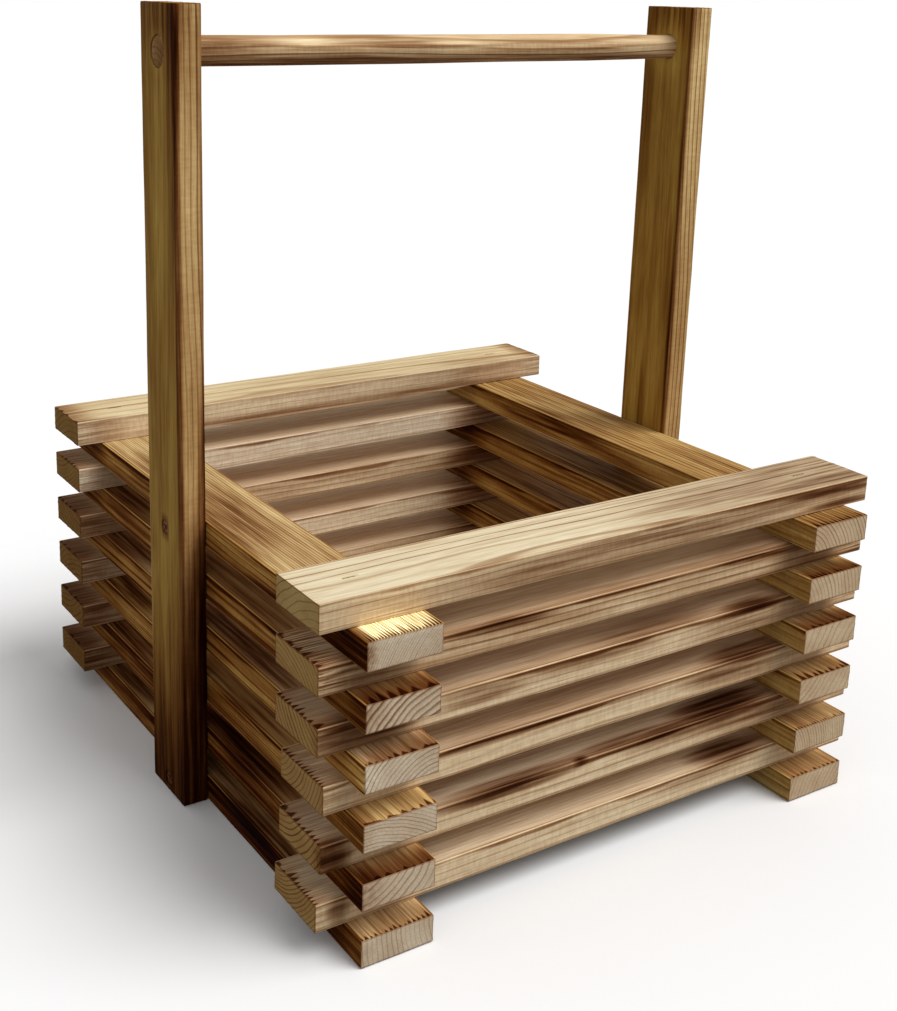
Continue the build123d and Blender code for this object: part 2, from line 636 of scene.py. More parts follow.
class BattenShape(Shape):
    """Saws, eases and brushes a batten."""

    NAME = "Brushed batten"
    INPUTS = {
        "Vector": ("Half Size", "Pith"),
        "Float": ("Arris", "End Arris", "Ring Pitch", "Relief", "Bow", "Early", "Seed"),
        "Int": ("Cells Along", "Cells Across", "Cells Through"),
    }
    # Sizes of a cell of the grid, of which every batten has some each way, and of the arrises
    CELL = (4.5 * MM, 0.95 * MM, 0.95 * MM)
    FEWEST_CELLS = 4
    ARRIS = 0.85 * MM
    END_ARRIS = 0.5 * MM
    # How much of the grid crowds towards the arrises
    CROWDING = 0.7
    # How fast the arrises vary along a batten, how much, and what they keep
    ARRIS_LUCK_RATE = 30.0
    ARRIS_LAYERS = 2.0
    ARRIS_LUCK = 1.1
    ARRIS_KEPT = 0.4
    # Saw marks on the faces, and where the underside sags: below the middle, between the crossings
    SAW_RATE = (9.0, 70.0, 70.0)
    SAW_LAYERS = 3.0
    SAW_DEPTH = (0.35, 0.75, 0.0, 0.7)
    SAG_UNDER = (-7.0 * MM, 4.0 * MM, 1.0, 0.0)
    SAG_SPAN = (0.5, 0.68, 1.0, 0.0)

    def mesh(self) -> Term:
        """Adds a gridded block, its eased arrises, its grooves and its sag.

        Returns:
            The batten.
        """
        nodes = self.nodes
        lines = {f"Vertices {axis}": self.given[name] + 1 for axis, name in zip("XYZ", self.INPUTS["Int"])}
        block = nodes.add("GeometryNodeMeshCube", {"Size": (2.0, 2.0, 2.0)} | lines)
        for socket, move in (("Position", self.eased), ("Offset", self.grooves), ("Offset", self.sag)):
            moved = {"Geometry": block, socket: move(nodes.add("GeometryNodeInputPosition"))}
            block = nodes.add("GeometryNodeSetPosition", moved)
        return block

    def eased(self, place: Term) -> Term:
        """Crowds the grid towards the arrises and rounds them, a little unevenly.

        Args:
            place: Each point's place in a block from -1 to 1.

        Returns:
            Each point's new place.
        """
        nodes, given = self.nodes, self.given
        bent = nodes.math("SINE", place * (math.pi / 2))
        even = (place * (1 - self.CROWDING) + bent * self.CROWDING) * given["Half Size"]
        along, _, _ = nodes.split(even)
        luck = nodes.noise(nodes.join(along * self.ARRIS_LUCK_RATE, given["Seed"], 0.0), self.ARRIS_LAYERS)
        radius = given["Arris"] * (luck * self.ARRIS_LUCK + self.ARRIS_KEPT)
        radii = nodes.join(given["End Arris"], radius, radius)
        inner = given["Half Size"] - radii
        core = nodes.math("MAXIMUM", nodes.math("MINIMUM", even, inner), -inner)
        return core + nodes.math("NORMALIZE", (even - core) / radii) * radii

    def grooves(self, place: Term) -> Term:
        """Sinks the early wood, and each face a little by its own saw marks, never outwards.

        Args:
            place: Each point's place.

        Returns:
            How far each point moves.
        """
        nodes, given = self.nodes, self.given
        seed = given["Seed"]
        count = ring_count(nodes, place, given["Pith"], given["Ring Pitch"], seed)
        early = 1.0 - late_wood(nodes, count, given["Early"], seed)
        sawn = nodes.noise(place * self.SAW_RATE + nodes.join(seed, seed, 0.0), self.SAW_LAYERS)
        depth = given["Relief"] * (early + sawn.step(*self.SAW_DEPTH))
        return nodes.add("GeometryNodeInputNormal") * -depth

    def sag(self, place: Term) -> Term:
        """Lets a batten's underside sag between the crossings near its ends.

        Args:
            place: Each point's place.

        Returns:
            How far each point moves.
        """
        nodes, given = self.nodes, self.given
        along, _, up = nodes.split(place)
        share = nodes.math("ABSOLUTE", along) / nodes.split(given["Half Size"])[0]
        hang = share.step(*self.SAG_SPAN) * up.step(*self.SAG_UNDER) * given["Bow"]
        return nodes.join(0.0, 0.0, -hang)

    def make(self, batten: Batten, wood: bpy.types.Material) -> bpy.types.Object:
        """Makes one batten as a plain mesh in its own place.

        Args:
            batten: What to make.
            wood: Its material.

        Returns:
            The mesh's object, at the origin.
        """
        half, grain = batten.half(), batten.grain
        cells = [max(self.FEWEST_CELLS, round(2 * h / c)) for h, c in zip(half, self.CELL)]
        values = {
            "Half Size": tuple(half), "Pith": grain.pith(), "Arris": self.ARRIS, "End Arris": self.END_ARRIS,
            "Ring Pitch": grain.pitch * MM, "Relief": grain.relief * MM, "Bow": grain.bow * MM,
            "Early": grain.early, "Seed": grain.seed, "Coat": wood,
        }
        piece = mesh_object(batten.node + "_brushed", [], [])
        self.apply(piece, values | dict(zip(self.INPUTS["Int"], cells)))
        piece.data.transform(Matrix.Translation(middle_of(batten.node)) @ batten.turn().to_4x4())
        return piece


class Driven(Shape):
    """A fastener, copied to points that carry their own turns."""

    def mesh(self) -> Term:
        """Adds the fastener at each of the places.

        Returns:
            The driven fasteners.
        """
        nodes = self.nodes
        turn = nodes.add("GeometryNodeInputNamedAttribute", {"Name": "turn"}, data_type="FLOAT")
        points = nodes.add("GeometryNodeMeshToPoints", {"Mesh": self.given["Places"]})
        spread = {"Points": points, "Instance": self.one(), "Rotation": nodes.join(0.0, 0.0, turn)}
        return nodes.add("GeometryNodeInstanceOnPoints", spread)

    def one(self) -> Term:
        """Adds one fastener at the origin."""
        raise NotImplementedError

    def drive(self, name: str, places: list[tuple], values: dict[str, Value]) -> bpy.types.Object:
        """Makes all fasteners of one piece.

        Args:
            name: The piece's name.
            places: Where each goes in metres, and its turn about Z.
            values: What each input gets, by name.

        Returns:
            The piece.
        """
        piece = mesh_object(name, [place[:3] for place in places], [])
        layer = piece.data.attributes.new("turn", "FLOAT", "POINT")
        layer.data.foreach_set("value", [place[3] for place in places])
        self.apply(piece, values)
        face_outwards(piece)
        return piece


def surface(nodes: Nodes, height: Term, looks: dict[str, Value], strength: float = 1.0) -> None:
    """Adds a material's surface and its output.

    Args:
        nodes: The material's tree.
        height: Height of its fine relief, in metres.
        looks: What the other inputs of its shader get, by name.
        strength: How much of that relief shows.
    """
    bump = nodes.add("ShaderNodeBump", {"Height": height, "Distance": 1.0, "Strength": strength})
    shader = nodes.add("ShaderNodeBsdfPrincipled", looks | {"Normal": bump})
    nodes.node("ShaderNodeOutputMaterial", {"Surface": shader})


class PineMaterial:
    """The shader of scorched and brushed pine, shared by all battens as one node group.

    Its inputs are named after the fields of Grain and Pine that they take.
    """

    NAME = "Scorched pine"
    COLOURS = ("wide", "narrow", "end")
    GRAIN = ("pitch", "early", "contrast", "seed")
    LENGTHS = ("pitch", "tooth")
    # How fast char, and how fast the grey, sooty share of the marks with their painted shade, takes red,
    # green and blue out of the wood's colour
    CHAR = (1.3, 1.85, 2.3)
    SOOT = (1.2, 1.42, 1.5)
    # How much of the fine relief shows, and how much gloss a dry brushed face keeps
    BUMP = 0.9
    GLOSS = 0.02
    # Noise drawn out along the grain: lumps to a metre each way, and finer layers
    FIBRE = ((55.0, 1500.0, 1500.0), 3.0)
    STREAK = ((12.0, 330.0, 330.0), 4.0)
    CLOUD = ((11.0, 55.0, 55.0), 3.0)
    WISP = ((22.0, 420.0, 420.0), 2.0)
    HAIR = ((30.0, 900.0, 900.0), 2.0)
    SAW = ((520.0, 150.0, 150.0), 3.0)
    # Rises, as Term.step takes them. First, from a distance to an end, a side or an arris
    END_FACE = (0.35 * MM, 0.8 * MM, 1.0, 0.0)
    NARROW_FACE = (0.9 * MM, 1.6 * MM, 1.0, 0.0)
    COMB_REACH = (3.0 * MM, 30.0 * MM, 1.0, 0.0)
    BRIM_REACH = (1.0 * MM, 24.0 * MM, 1.0, 0.0)
    BRIM_EDGE = (1.8 * MM, 3.6 * MM, 0.5, 0.0)
    WORN_ARRIS = (0.35 * MM, 1.5 * MM, 1.0, 0.0)
    END_BRINK = (0.5 * MM, 1.3 * MM, 0.4, 0.0)
    # Then from noise to how uneven each mark is
    UNEVEN = (0.3, 0.7, 0.5, 1.5)
    FLECK = (0.3, 0.7, -0.35, 0.35)
    SAWN_CHAR = (0.3, 0.7, -0.03, 0.055)
    COMB = (0.46, 0.58)
    SPOTS = (0.45, 0.75, 0.0, 0.15)
    BRIM_LUCK = (0.3, 0.7, 0.75, 1.25)
    WORN_LUCK = (0.3, 0.62, 0.55, 1.0)
    FIBRE_CHAR = (0.25, 0.75, -0.06, 0.1)
    SOOT_LUCK = (0.3, 0.7, 0.8, 1.2)
    CHAR_ROUGH = (0.0, 2.0, 0.0, 0.2)
    FIBRE_ROUGH = (0.3, 0.7, -0.05, 0.05)
    END_ROUGH = 0.15
    # Heights of the late wood, the fibres and the wisps
    HEIGHTS = (0.16 * MM, 0.09 * MM, 0.12 * MM)
    # How well late wood takes char, what all wood takes, and the char of late wood itself
    GRIP = (0.9, 0.9, 0.5)
    # Char of the end grain's late wood for each unit of contrast, and without any
    END_LINES = (0.35, 0.1)
    # How much flecks tear the torch marks, and how much wear and end grain take from them
    TORN = 1.35
    WORN_OFF = -0.6
    END_OFF = -0.75
    # The band under the rim: its lumps to a metre along and up, and how it reaches, swells and starts
    RIM_RATE = (14.0, 20.0)
    RIM_LAYERS = 2.0
    RIM_REACH = (0.35, 0.75, 2.2 * MM, 6.0 * MM)
    RIM_SWELL = (0.3, 0.6, 0.5, 1.1)
    RIM_LUCK = (0.25, 0.7, 0.5, 1.3)
    RIM_START = (0.5 * MM, 1.3 * MM)
    RIM_HOLD = 0.45
    RIM_UPPER = (-2.0 * MM, 2.0 * MM)
    # The dark line along the lower arris: partly char, partly painted shade where the face meets the gap
    # below
    RIM_LOWER = (0.8 * MM, 2.2 * MM, 0.75, 0.0)
    # The teeth: their shift against the rings, their own luck, and their outline
    TOOTH_SHIFT = 0.25
    TOOTH_SEED = 0.5
    TOOTH_LUCK = (0.2, 0.8, -0.2, 0.2)
    TOOTH_LEAST = (0.1 * MM, 0.3)
    TOOTH_EDGE = (-0.1, 0.4, 0.0, 1.3)
    TOOTH_ON = (0.2 * MM, 2.0 * MM)
    GLOW_WISP = 14.0 * MM
    GLOW_REACH = (5.0 * MM, 27.0 * MM)

    def __init__(self) -> None:
        """Builds the shared group."""
        numbers = [name for name in vars(Pine()) if name not in self.COLOURS]
        inputs = {
            "Vector": ("place", "half", "pith"), "Color": self.COLOURS,
            "Float": (*self.GRAIN, *numbers, "scorch"),
        }
        outputs = {"Color": ("colour",), "Float": ("roughness", "height")}
        self.nodes = new_group(self.NAME, "Shader", inputs, outputs)
        self.given = self.nodes.given()
        self.nodes.node("NodeGroupOutput", self.wood())

    def wood(self) -> dict[str, Term]:
        """Adds the nodes: rings, fibres, faces, char and relief.

        Returns:
            The group's outputs, by name.
        """
        nodes, given = self.nodes, self.given
        place, seed = given["place"], given["seed"]
        count = ring_count(nodes, place, given["pith"], given["pitch"], seed)
        late = late_wood(nodes, count, given["early"], seed)
        from_end, from_side, from_face = nodes.split(given["half"] - nodes.math("ABSOLUTE", place))
        end = from_end.step(*self.END_FACE)
        narrow = from_side.step(*self.NARROW_FACE)
        broad = 1.0 - narrow
        arris = nodes.math("MAXIMUM", from_side, from_face)
        brink = nodes.math("MINIMUM", from_side, from_face)
        kinds = (self.FIBRE, self.STREAK, self.CLOUD, self.WISP, self.HAIR, self.SAW)
        noises = [nodes.noise(place * rate + seed, detail) for rate, detail in kinds]
        fibre, streak, cloud, wisp, hair, saw = noises

        uneven = cloud.step(*self.UNEVEN)
        shown = late * nodes.mix(narrow, given["lines"], given["edge_lines"])
        fleck = streak.step(*self.FLECK) * given["fleck"]
        late_grip, all_grip, line_char = self.GRIP
        grip = shown * late_grip + all_grip + fleck
        heat = nodes.mix(narrow, given["heat"], given["edge_heat"]) * uneven * grip + shown * line_char
        heat += saw.step(*self.SAWN_CHAR) * narrow
        heat += hair.step(*self.COMB) * given["comb"] * from_end.step(*self.COMB_REACH)
        heat += streak.step(*self.SPOTS) * given["fleck"]
        heat += self.rim_band(arris, wisp) * narrow
        brim = from_side.step(*self.BRIM_REACH) + from_side.step(*self.BRIM_EDGE)
        heat += brim * broad * given["brim"] * cloud.step(*self.BRIM_LUCK)
        worn = arris.step(*self.WORN_ARRIS) * wisp.step(*self.WORN_LUCK) * given["wear"]
        heat = heat * (1.0 - worn) + self.teeth(from_end, count, wisp) * broad
        by_contrast, always = self.END_LINES
        ends = late * (given["contrast"] * by_contrast + always) + given["end_heat"] * uneven
        ends += brink.step(*self.END_BRINK)
        char = heat * (1.0 - end) + ends * end + fibre.step(*self.FIBRE_CHAR)
        # The marks laid on the mesh: torch marks, and painted shade in corners, gaps and holes. Smoke turns
        # a share of them grey, and from here on char holds the painted shade too
        ragged = (fleck * self.TORN + 1.0) * (worn * self.WORN_OFF + 1.0) * wisp.step(*self.SOOT_LUCK)
        burnt = given["scorch"] * ragged * (end * self.END_OFF + 1.0)
        grey_share = burnt * given["smoke"]
        char += burnt - grey_share

        bare = nodes.mix(end, nodes.mix(narrow, given["wide"], given["narrow"]), given["end"])
        rough = given["rough"] + char.step(*self.CHAR_ROUGH) + end * self.END_ROUGH
        rough += fibre.step(*self.FIBRE_ROUGH)
        ridge, thread, lump = (noise * high for noise, high in zip((late, fibre, wisp), self.HEIGHTS))
        left = [nodes.math("EXPONENT", char * -c + grey_share * -s) for c, s in zip(self.CHAR, self.SOOT)]
        return {"colour": bare * nodes.join(*left), "roughness": rough, "height": ridge + thread + lump}

    def rim_band(self, arris: Term, wisp: Term) -> Term:
        """Adds the burnt band that runs just under the upper arris of a narrow face, and the dark line along
        its lower arris, partly char and partly painted shade where the face meets the gap below.

        Args:
            arris: Distance to the nearest long arris.
            wisp: Streaky noise.

        Returns:
            The band's char.
        """
        nodes, given = self.nodes, self.given
        along, _, up = nodes.split(given["place"])
        along_rate, up_rate = self.RIM_RATE
        swell = nodes.noise(nodes.join(along * along_rate, given["seed"], up * up_rate), self.RIM_LAYERS)
        reach = swell.step(*self.RIM_REACH)
        upper = up.step(*self.RIM_UPPER)
        band = arris.step(reach * self.RIM_HOLD, reach, 1.0, 0.0) * swell.step(*self.RIM_SWELL) * upper
        # The line along the lower arris, partly char and partly painted shade
        band += arris.step(*self.RIM_LOWER) * (1.0 - upper)
        return band * arris.step(*self.RIM_START) * given["rim"] * wisp.step(*self.RIM_LUCK)

    def teeth(self, from_end: Term, count: Term, wisp: Term) -> Term:
        """Adds the burnt teeth at a batten's ends, one along each growth ring.

        Args:
            from_end: Distance to the nearer end.
            count: The ring count.
            wisp: Streaky noise.

        Returns:
            The teeth's char.
        """
        nodes, given = self.nodes, self.given
        shifted = count - self.TOOTH_SHIFT
        luck = nodes.luck(nodes.math("FLOOR", shifted) + (given["seed"] + self.TOOTH_SEED))
        wave = 1.0 - nodes.math("ABSOLUTE", nodes.math("FRACT", shifted) * 2.0 - 1.0)
        least, least_luck = self.TOOTH_LEAST
        reach = nodes.math("MAXIMUM", given["tooth"], least) * (luck + least_luck)
        tooth = (wave + wisp.step(*self.TOOTH_LUCK) - from_end / reach).step(*self.TOOTH_EDGE)
        glow = (1.0 - (wisp * self.GLOW_WISP + from_end).step(*self.GLOW_REACH)) * given["toast"]
        return (tooth + glow) * given["tooth"].step(*self.TOOTH_ON)

    def make(self, batten: Batten) -> bpy.types.Material:
        """Makes one batten's own material.

        Args:
            batten: Whose material it is.

        Returns:
            The material.
        """
        material, nodes = new_material("pine_" + batten.node)
        spot = nodes.add("ShaderNodeTexCoord", out="Object")
        seat = {"Vector": spot, "Location": middle_of(batten.node), "Rotation": batten.lay.value}
        values = {
            "place": nodes.add("ShaderNodeMapping", seat, vector_type="TEXTURE"),
            "half": batten.half(), "pith": batten.grain.pith(),
            "scorch": nodes.add("ShaderNodeAttribute", out="Fac", attribute_name="scorch"),
        }
        values |= {name: getattr(batten.grain, name) for name in self.GRAIN} | vars(batten.pine)
        values |= {name: linear(*values[name]) for name in self.COLOURS}
        values |= {name: values[name] * MM for name in self.LENGTHS}
        wood = nodes.add("ShaderNodeGroup", values, node_tree=self.nodes.tree)
        looks = {"Base Color": wood["colour"], "Roughness": wood["roughness"]}
        surface(nodes, wood["height"], looks | {"Specular IOR Level": self.GLOSS}, self.BUMP)
        return material


@dataclass(frozen=True)
class Metal:
    """Steel finish of the fasteners, with faint wear in its roughness.

    Attributes:
        name: The material's name.
        colour: Its colour as a screen shows it.
        rough: Its mean roughness.
        grain: Lumps of grime to a metre.
        dark: Brightness of the grime against the steel.
        relief: Height of the grime, in millimetres.
    """

    name: str
    colour: tuple[int, int, int]
    rough: float
    grain: float = 900.0
    dark: float = 0.35
    relief: float = 0.03
    # Finer layers of the grime, where its noise darkens and roughens the steel, and by how much
    LAYERS = 3.0
    GRIMY = (0.35, 0.7)
    ROUGHER = (0.3, 0.7)
    ROUGH_RANGE = (-0.1, 0.15)

    def make(self) -> bpy.types.Material:
        """Makes the material.

        Returns:
            The material.
        """
        material, nodes = new_material(self.name)
        grime = nodes.noise(nodes.add("ShaderNodeTexCoord", out="Object"), self.LAYERS, self.grain)
        red, green, blue, alpha = linear(*self.colour)
        dark = (red * self.dark, green * self.dark, blue * self.dark, alpha)
        shade = nodes.mix(grime.step(*self.GRIMY), (red, green, blue, alpha), dark)
        rough = grime.step(*self.ROUGHER, *(self.rough + change for change in self.ROUGH_RANGE))
        looks = {"Base Color": shade, "Roughness": rough, "Metallic": 1.0}
        surface(nodes, grime * (self.relief * MM), looks)
        return material


class Workshop:
    """What makes a batten: the batten tree and the pine shader."""

    def __init__(self) -> None:
        """Builds the shared trees."""
        self.shape = BattenShape()
        self.pine = PineMaterial()

    def batten(self, batten: Batten, cutters: list[bpy.types.Object] | None = None) -> None:
        """Makes, cuts and finishes one batten, and lays its torch marks and its painted shade.

        Args:
            batten: What to make.
            cutters: Shapes to take out of it.
        """
        wood = self.pine.make(batten)
        piece = self.shape.make(batten, wood)
        if cutters:
            cut(piece, cutters)
        batten.scorch(piece)
        finish(piece, wood, WOOD_CREASE, "scorched_pine", batten.node)


@dataclass
class SlatWalls:
    """The four walls: twelve crossed layers of slats, side slats lowest.

    Attributes:
        workshop: Makes the battens.
        front: Finish of the front wall's slats.
        back: Finish of the back wall's slats.
        left: Finish of the left wall's slats.
        right: Finish of the right wall's slats.
        crown: Length and width of a staple's slot, and how deep its crown is sunk, in millimetres.
    """

    workshop: Workshop
    front: Pine = Pine(
        wide=(244, 222, 188), narrow=(244, 220, 180), end=(196, 160, 102), lines=0.06, edge_lines=0.45,
        heat=0.14, edge_heat=0.14, fleck=0.8, toast=0.35, rim=0.8, brim=0.19, tooth=5.0, smoke=0.45,
        comb=0.22, wear=0.46,
    )
    back: Pine = Pine(
        wide=(240, 214, 178), narrow=(244, 222, 186), end=(160, 126, 70), lines=0.08, edge_lines=0.3,
        heat=0.02, edge_heat=0.08, fleck=0.8, toast=0.5, rim=0.6, brim=0.06, tooth=3.0,
    )
    # The side walls' narrow colours are yellower than their wide ones: partly the wood, and partly a painted
    # warm tint of the light on the faces turned to -X
    left: Pine = Pine(
        wide=(240, 210, 142), narrow=(240, 196, 112), end=(230, 214, 188), lines=0.4, edge_lines=1.0,
        heat=0.3, edge_heat=0.85, rim=1.3, wear=0.95, tooth=4.0,
    )
    right: Pine = Pine(
        wide=(226, 196, 130), narrow=(236, 202, 124), end=(228, 206, 172), lines=0.5, edge_lines=0.5,
        heat=0.25, edge_heat=0.3, comb=0.12, rim=1.1, tooth=4.0, smoke=0.0,
    )
    crown: tuple[float, float, float] = (10.4, 1.9, 0.62)
    # Row by row from the rim down, as Grain takes them, the rings of slats whose ends show
    SAWN = {
        "front": (
            (-26, -44, 4.4, 1.2), (30, -46, 3.1, 0.8), (-40, 38, 3.4, 2.0),
            (35, 20, 2.9, 1.2), (26, 30, 3.4, 2.0), (24, 34, 2.4, 1.4),
        ),
        "back": ((-22, -52, 3.9, 0.8),),
        "left": (
            (-62, -36, 1.5, 0.8), (-34, -43, 3.7, 2.2), (-24, -28, 2.7, 1.1),
            (20, -60, 2.0, 0.6), (30, 32, 4.2, 0.8), (-80, 12, 3.0, 0.5),
        ),
        "right": (
            (42, -26, 2.6, 1.1), (45, -15, 3.0, 0.8), (-70, -40, 5.0, 0.4),
            (60, 50, 4.0, 0.4), (50, -12, 2.1, 0.7), (-60, -30, 3.4, 0.4),
        ),
    }
    EARLY = {"left_2": 0.35, "front_1": 0.78, "back_1": 0.7}
    SAGS = {"back_1": 1.9, "back_2": 0.6}
    # What a slat's row, the length of its node's name and its letters add to its seed
    SEED = (3.7, 11.3, 0.37)
    # What makes a seed a whole number for the lot
    LOT_SEED = 100
    # Bounds for the lot: the pith across, how far it is through, and the pitch; then the contrast
    ACROSS_LOT = (-45, 45)
    THROUGH_LOT = (25, 60)
    PITCH_LOT = (2.2, 4.4)
    LOT_CONTRAST = 0.8
    # How deep the brush cut: always, and more for each millimetre from ring to ring
    RELIEF = (0.1, 0.03)
    # How slats differ from their wall's finish
    CHANGES = {
        "front_1": dict(
            wide=(241, 228, 194), end=(206, 176, 116), lines=1.2, edge_lines=1.2, heat=0.07, edge_heat=0.06,
            brim=0.0, rim=0.6, tooth=0.0, comb=0.06,
        ),
        "front_2": dict(edge_heat=0.22, edge_lines=0.8, tooth=6.0, comb=0.8),
        "front_3": dict(edge_heat=0.04, edge_lines=0.3, rim=0.9),
        "front_4": dict(edge_heat=0.04),
        "front_5": dict(edge_heat=0.02, wide=(246, 228, 198), brim=0.1),
        "front_6": dict(edge_heat=0.02, brim=0.05, heat=0.05),
        "back_1": dict(
            wide=(240, 222, 178), lines=0.7, heat=0.1, edge_heat=0.05, brim=0.0, rim=0.15, tooth=2.5,
        ),
        "back_2": dict(edge_heat=-0.02, narrow=(246, 228, 200)),
        "back_3": dict(edge_heat=0.18, edge_lines=0.5),
        "back_4": dict(edge_heat=-0.02, rim=0.7, narrow=(246, 226, 194)),
        "left_1": dict(lines=1.3, edge_heat=0.42, tooth=12.0, toast=0.0, wide=(246, 224, 166)),
        "left_2": dict(wide=(226, 190, 132), tooth=11.0, heat=0.22, toast=0.9, edge_heat=0.6),
        "left_3": dict(wide=(236, 206, 160), tooth=4.5, toast=0.62, heat=0.2, edge_heat=0.55),
        "left_4": dict(wide=(246, 216, 150), tooth=6.0, toast=0.0, heat=0.2, edge_heat=0.55),
        "left_5": dict(wide=(232, 200, 146), tooth=3.2, toast=1.15, heat=0.2),
        "left_6": dict(wide=(244, 216, 164), tooth=5.0, toast=0.35, heat=0.1),
        "right_1": dict(tooth=8.0, lines=1.2, heat=0.42),
        "right_2": dict(tooth=6.0, wide=(232, 200, 136), toast=1.25),
        "right_3": dict(wide=(234, 204, 150), edge_heat=0.25, toast=1.25),
        "right_4": dict(tooth=8.0, wide=(234, 204, 146), toast=0.35, edge_heat=0.2),
        "right_5": dict(tooth=3.5, wide=(240, 210, 154), toast=0.15, edge_heat=0.18),
        "right_6": dict(wide=(234, 200, 144), edge_heat=0.1),
    }
    # Where the torch dwelt on single slats, as Flame takes it, and where shade is painted on them
    MARKS = {
        "front_1": (
            ((160, 0, 8), (130, 34, 12), 0.42), ((60, 0, 8), (60, 34, 12), 0.15),
            ((175, -16, 8), (60, 6, 3), 0.7), ((0, -23, -1), (175, 9, 9), 0.52),
            ((170, -23, 3), (44, 9, 3), 1.2), ((176, -23, -5), (36, 9, 2.4), 1.2),
        ),
        "front_2": (
            ((-172, -23, 0), (22, 9, 14), 0.4), ((-84, -23, 5.5), (40, 8, 3), 1.1),
            ((100, -23, 6), (70, 8, 3), 0.6), ((150, -23, 0), (36, 9, 14), 0.4),
            # Painted shade on the top face, towards the inner right corner
            ((110, -14, 8.5), (50, 14, 4), 0.22),
        ),
        "front_3": (
            ((-176, -23, 0), (38, 9, 14), 1.3), ((-100, -23, 1.5), (34, 8, 6), 0.6),
            ((-20, -23, 3), (60, 8, 5), 0.35), ((120, -23, 0), (70, 9, 14), 0.55),
            # The second oval on the next line is painted shade on the top face, towards the inner right
            # corner
            ((30, -14, 8.5), (50, 14, 4), 0.45), ((108, -20, 7), (26, 9, 4), 1.4),
        ),
        "front_4": (
            ((-84, -23, 6), (60, 8, 2.6), 1.3), ((0, -23, 6.5), (60, 8, 2), 0.8),
            ((92, -23, 2), (44, 9, 8), 0.75), ((140, -23, 0), (40, 9, 14), 0.25),
            # Painted shade on the top face, towards the inner right corner
            ((108, -15, 8.5), (34, 11, 5), 1.3),
        ),
        "front_5": (
            ((-193, -23, 0), (14, 10, 14), 1.7), ((-76, -21, 6), (58, 8, 5.5), 1.6),
            ((-24, -22, 7), (2.4, 4, 3), 2.4), ((20, -20, 8), (60, 8, 3.5), 1.0),
            ((60, -23, 4), (60, 8, 6), 0.6), ((125, -23, 0), (60, 9, 14), 0.6),
            # Painted shade on the top face, towards the inner right corner
            ((96, -13, 8.5), (42, 13, 6), 1.9),
        ),
        "front_6": (
            ((-186, -23, 1), (8, 8, 8), 0.9), ((80, -23, 3), (50, 9, 6), 0.35),
            # Painted shade on the top face, towards the inner right corner
            ((104, -14, 8.5), (34, 12, 5), 1.5),
        ),
        "left_1": (
            ((-196, 23, 0), (40, 7, 12), 2.0), ((-120, 23, -5), (60, 7, 4), 0.9),
            ((60, 23, -3), (170, 6, 8), 0.3), ((178, 23, 0), (38, 8, 14), 1.1),
            ((-190, 0, 8.5), (40, 40, 4), -0.58), ((196, 4, 8.5), (26, 18, 4), 0.8),
            ((60, 8, 8.5), (60, 12, 4), 0.5), ((-20, -4, 8.5), (70, 14, 4), 0.45),
            ((-45, 14, 8.5), (60, 12, 4), 0.7),
        ),
        "right_1": (((60, 23, 2), (90, 9, 8), 1.0), ((-40, 23, -4), (60, 9, 5), 0.4)),
        "back_1": (
            ((0, -23, -8), (230, 9, 6), 0.5), ((-60, -23, 1), (60, 8, 7), -0.12),
            ((100, -23, 1), (44, 8, 9), 0.12), ((0, 0, 8.5), (70, 24, 4), 0.1),
        ),
    }
    # Marks that all slats of a side wall but the top one have; those noted below are painted shade
    LOWER_MARKS = {
        "left": (
            # The second oval on the next line is painted shade on the top faces, in the gaps under the slat
            # above
            ((186, 20, 4), (38, 10, 14), 0.6), ((124, 15, 8.5), (56, 12, 6), 1.0),
            # Painted shade on the outer face, just behind the upright
            ((36, 23, 0), (26, 12, 16), 0.25),
        ),
        "right": (
            ((40, 23, 2), (160, 14, 12), 0.5), ((20, 14, 8.5), (150, 34, 4), 0.3),
            # Painted shade on the inner face, in the corner with the back wall
            ((170, 23, 0), (40, 14, 14), 0.8),
        ),
    }
    # Places where the torch dwelt on a wall's slats, and its heat at each of them row by row.
    # Some places are painted shade: on the back wall's inner face in the corner with the right wall,
    # and, together with char, where the left wall crosses it; and on the left wall's top faces in the gaps
    # under the slat above. The back wall's left ends and the lowest left slat's front half are darker
    # towards the bottom.
    PLACES = {
        "front": (((-192, 4, 8.5), (18, 26, 4)),),
        "left": (
            ((0, 23, 0), (250, 16, 20)), ((-120, 23, -2), (110, 12, 16)), ((-204, 23, 0), (16, 14, 16)),
            # The first place on the next line is painted shade on the top faces, in the gaps under the slat
            # above
            ((-56, 15, 8.5), (66, 14, 6)), ((134, 23, 0), (24, 12, 16)),
        ),
        # In order: painted shade in the inner right corner; char and painted shadow where the left wall
        # crosses; and the left ends, darker row by row towards the bottom
        "back": (((150, -20, 0), (44, 24, 16)), ((-178, -23, 0), (16, 8, 12)), ((-200, 0, 0), (26, 50, 16))),
    }
    HEATS = {
        "front": ((), (-0.2,), (-0.2,), (-0.45,), (-0.2,), (-0.2,)),
        "left": (
            (), (0.15, 0.1, 0.6, 0.25, 0.0), (0.0, 0.0, -0.35, 0.95, 0.3), (0.1, 0.0, 0.15, 0.65, 0.3),
            # The lowest slat is darkened most at its front half, so that the wall grows darker towards the
            # bottom
            (0.5, 0.2, 0.8, 1.6, 0.3), (0.4, 1.5, -0.5, 0.8, 0.0),
        ),
        "back": (
            (0.25, 0.3, 0.0), (1.0, 0.3, 0.0), (1.0, 0.3, 0.54), (1.0, 0.3, 0.72), (1.0, 0.3, 0.9),
            (1.0, 0.3, 1.08),
        ),
    }

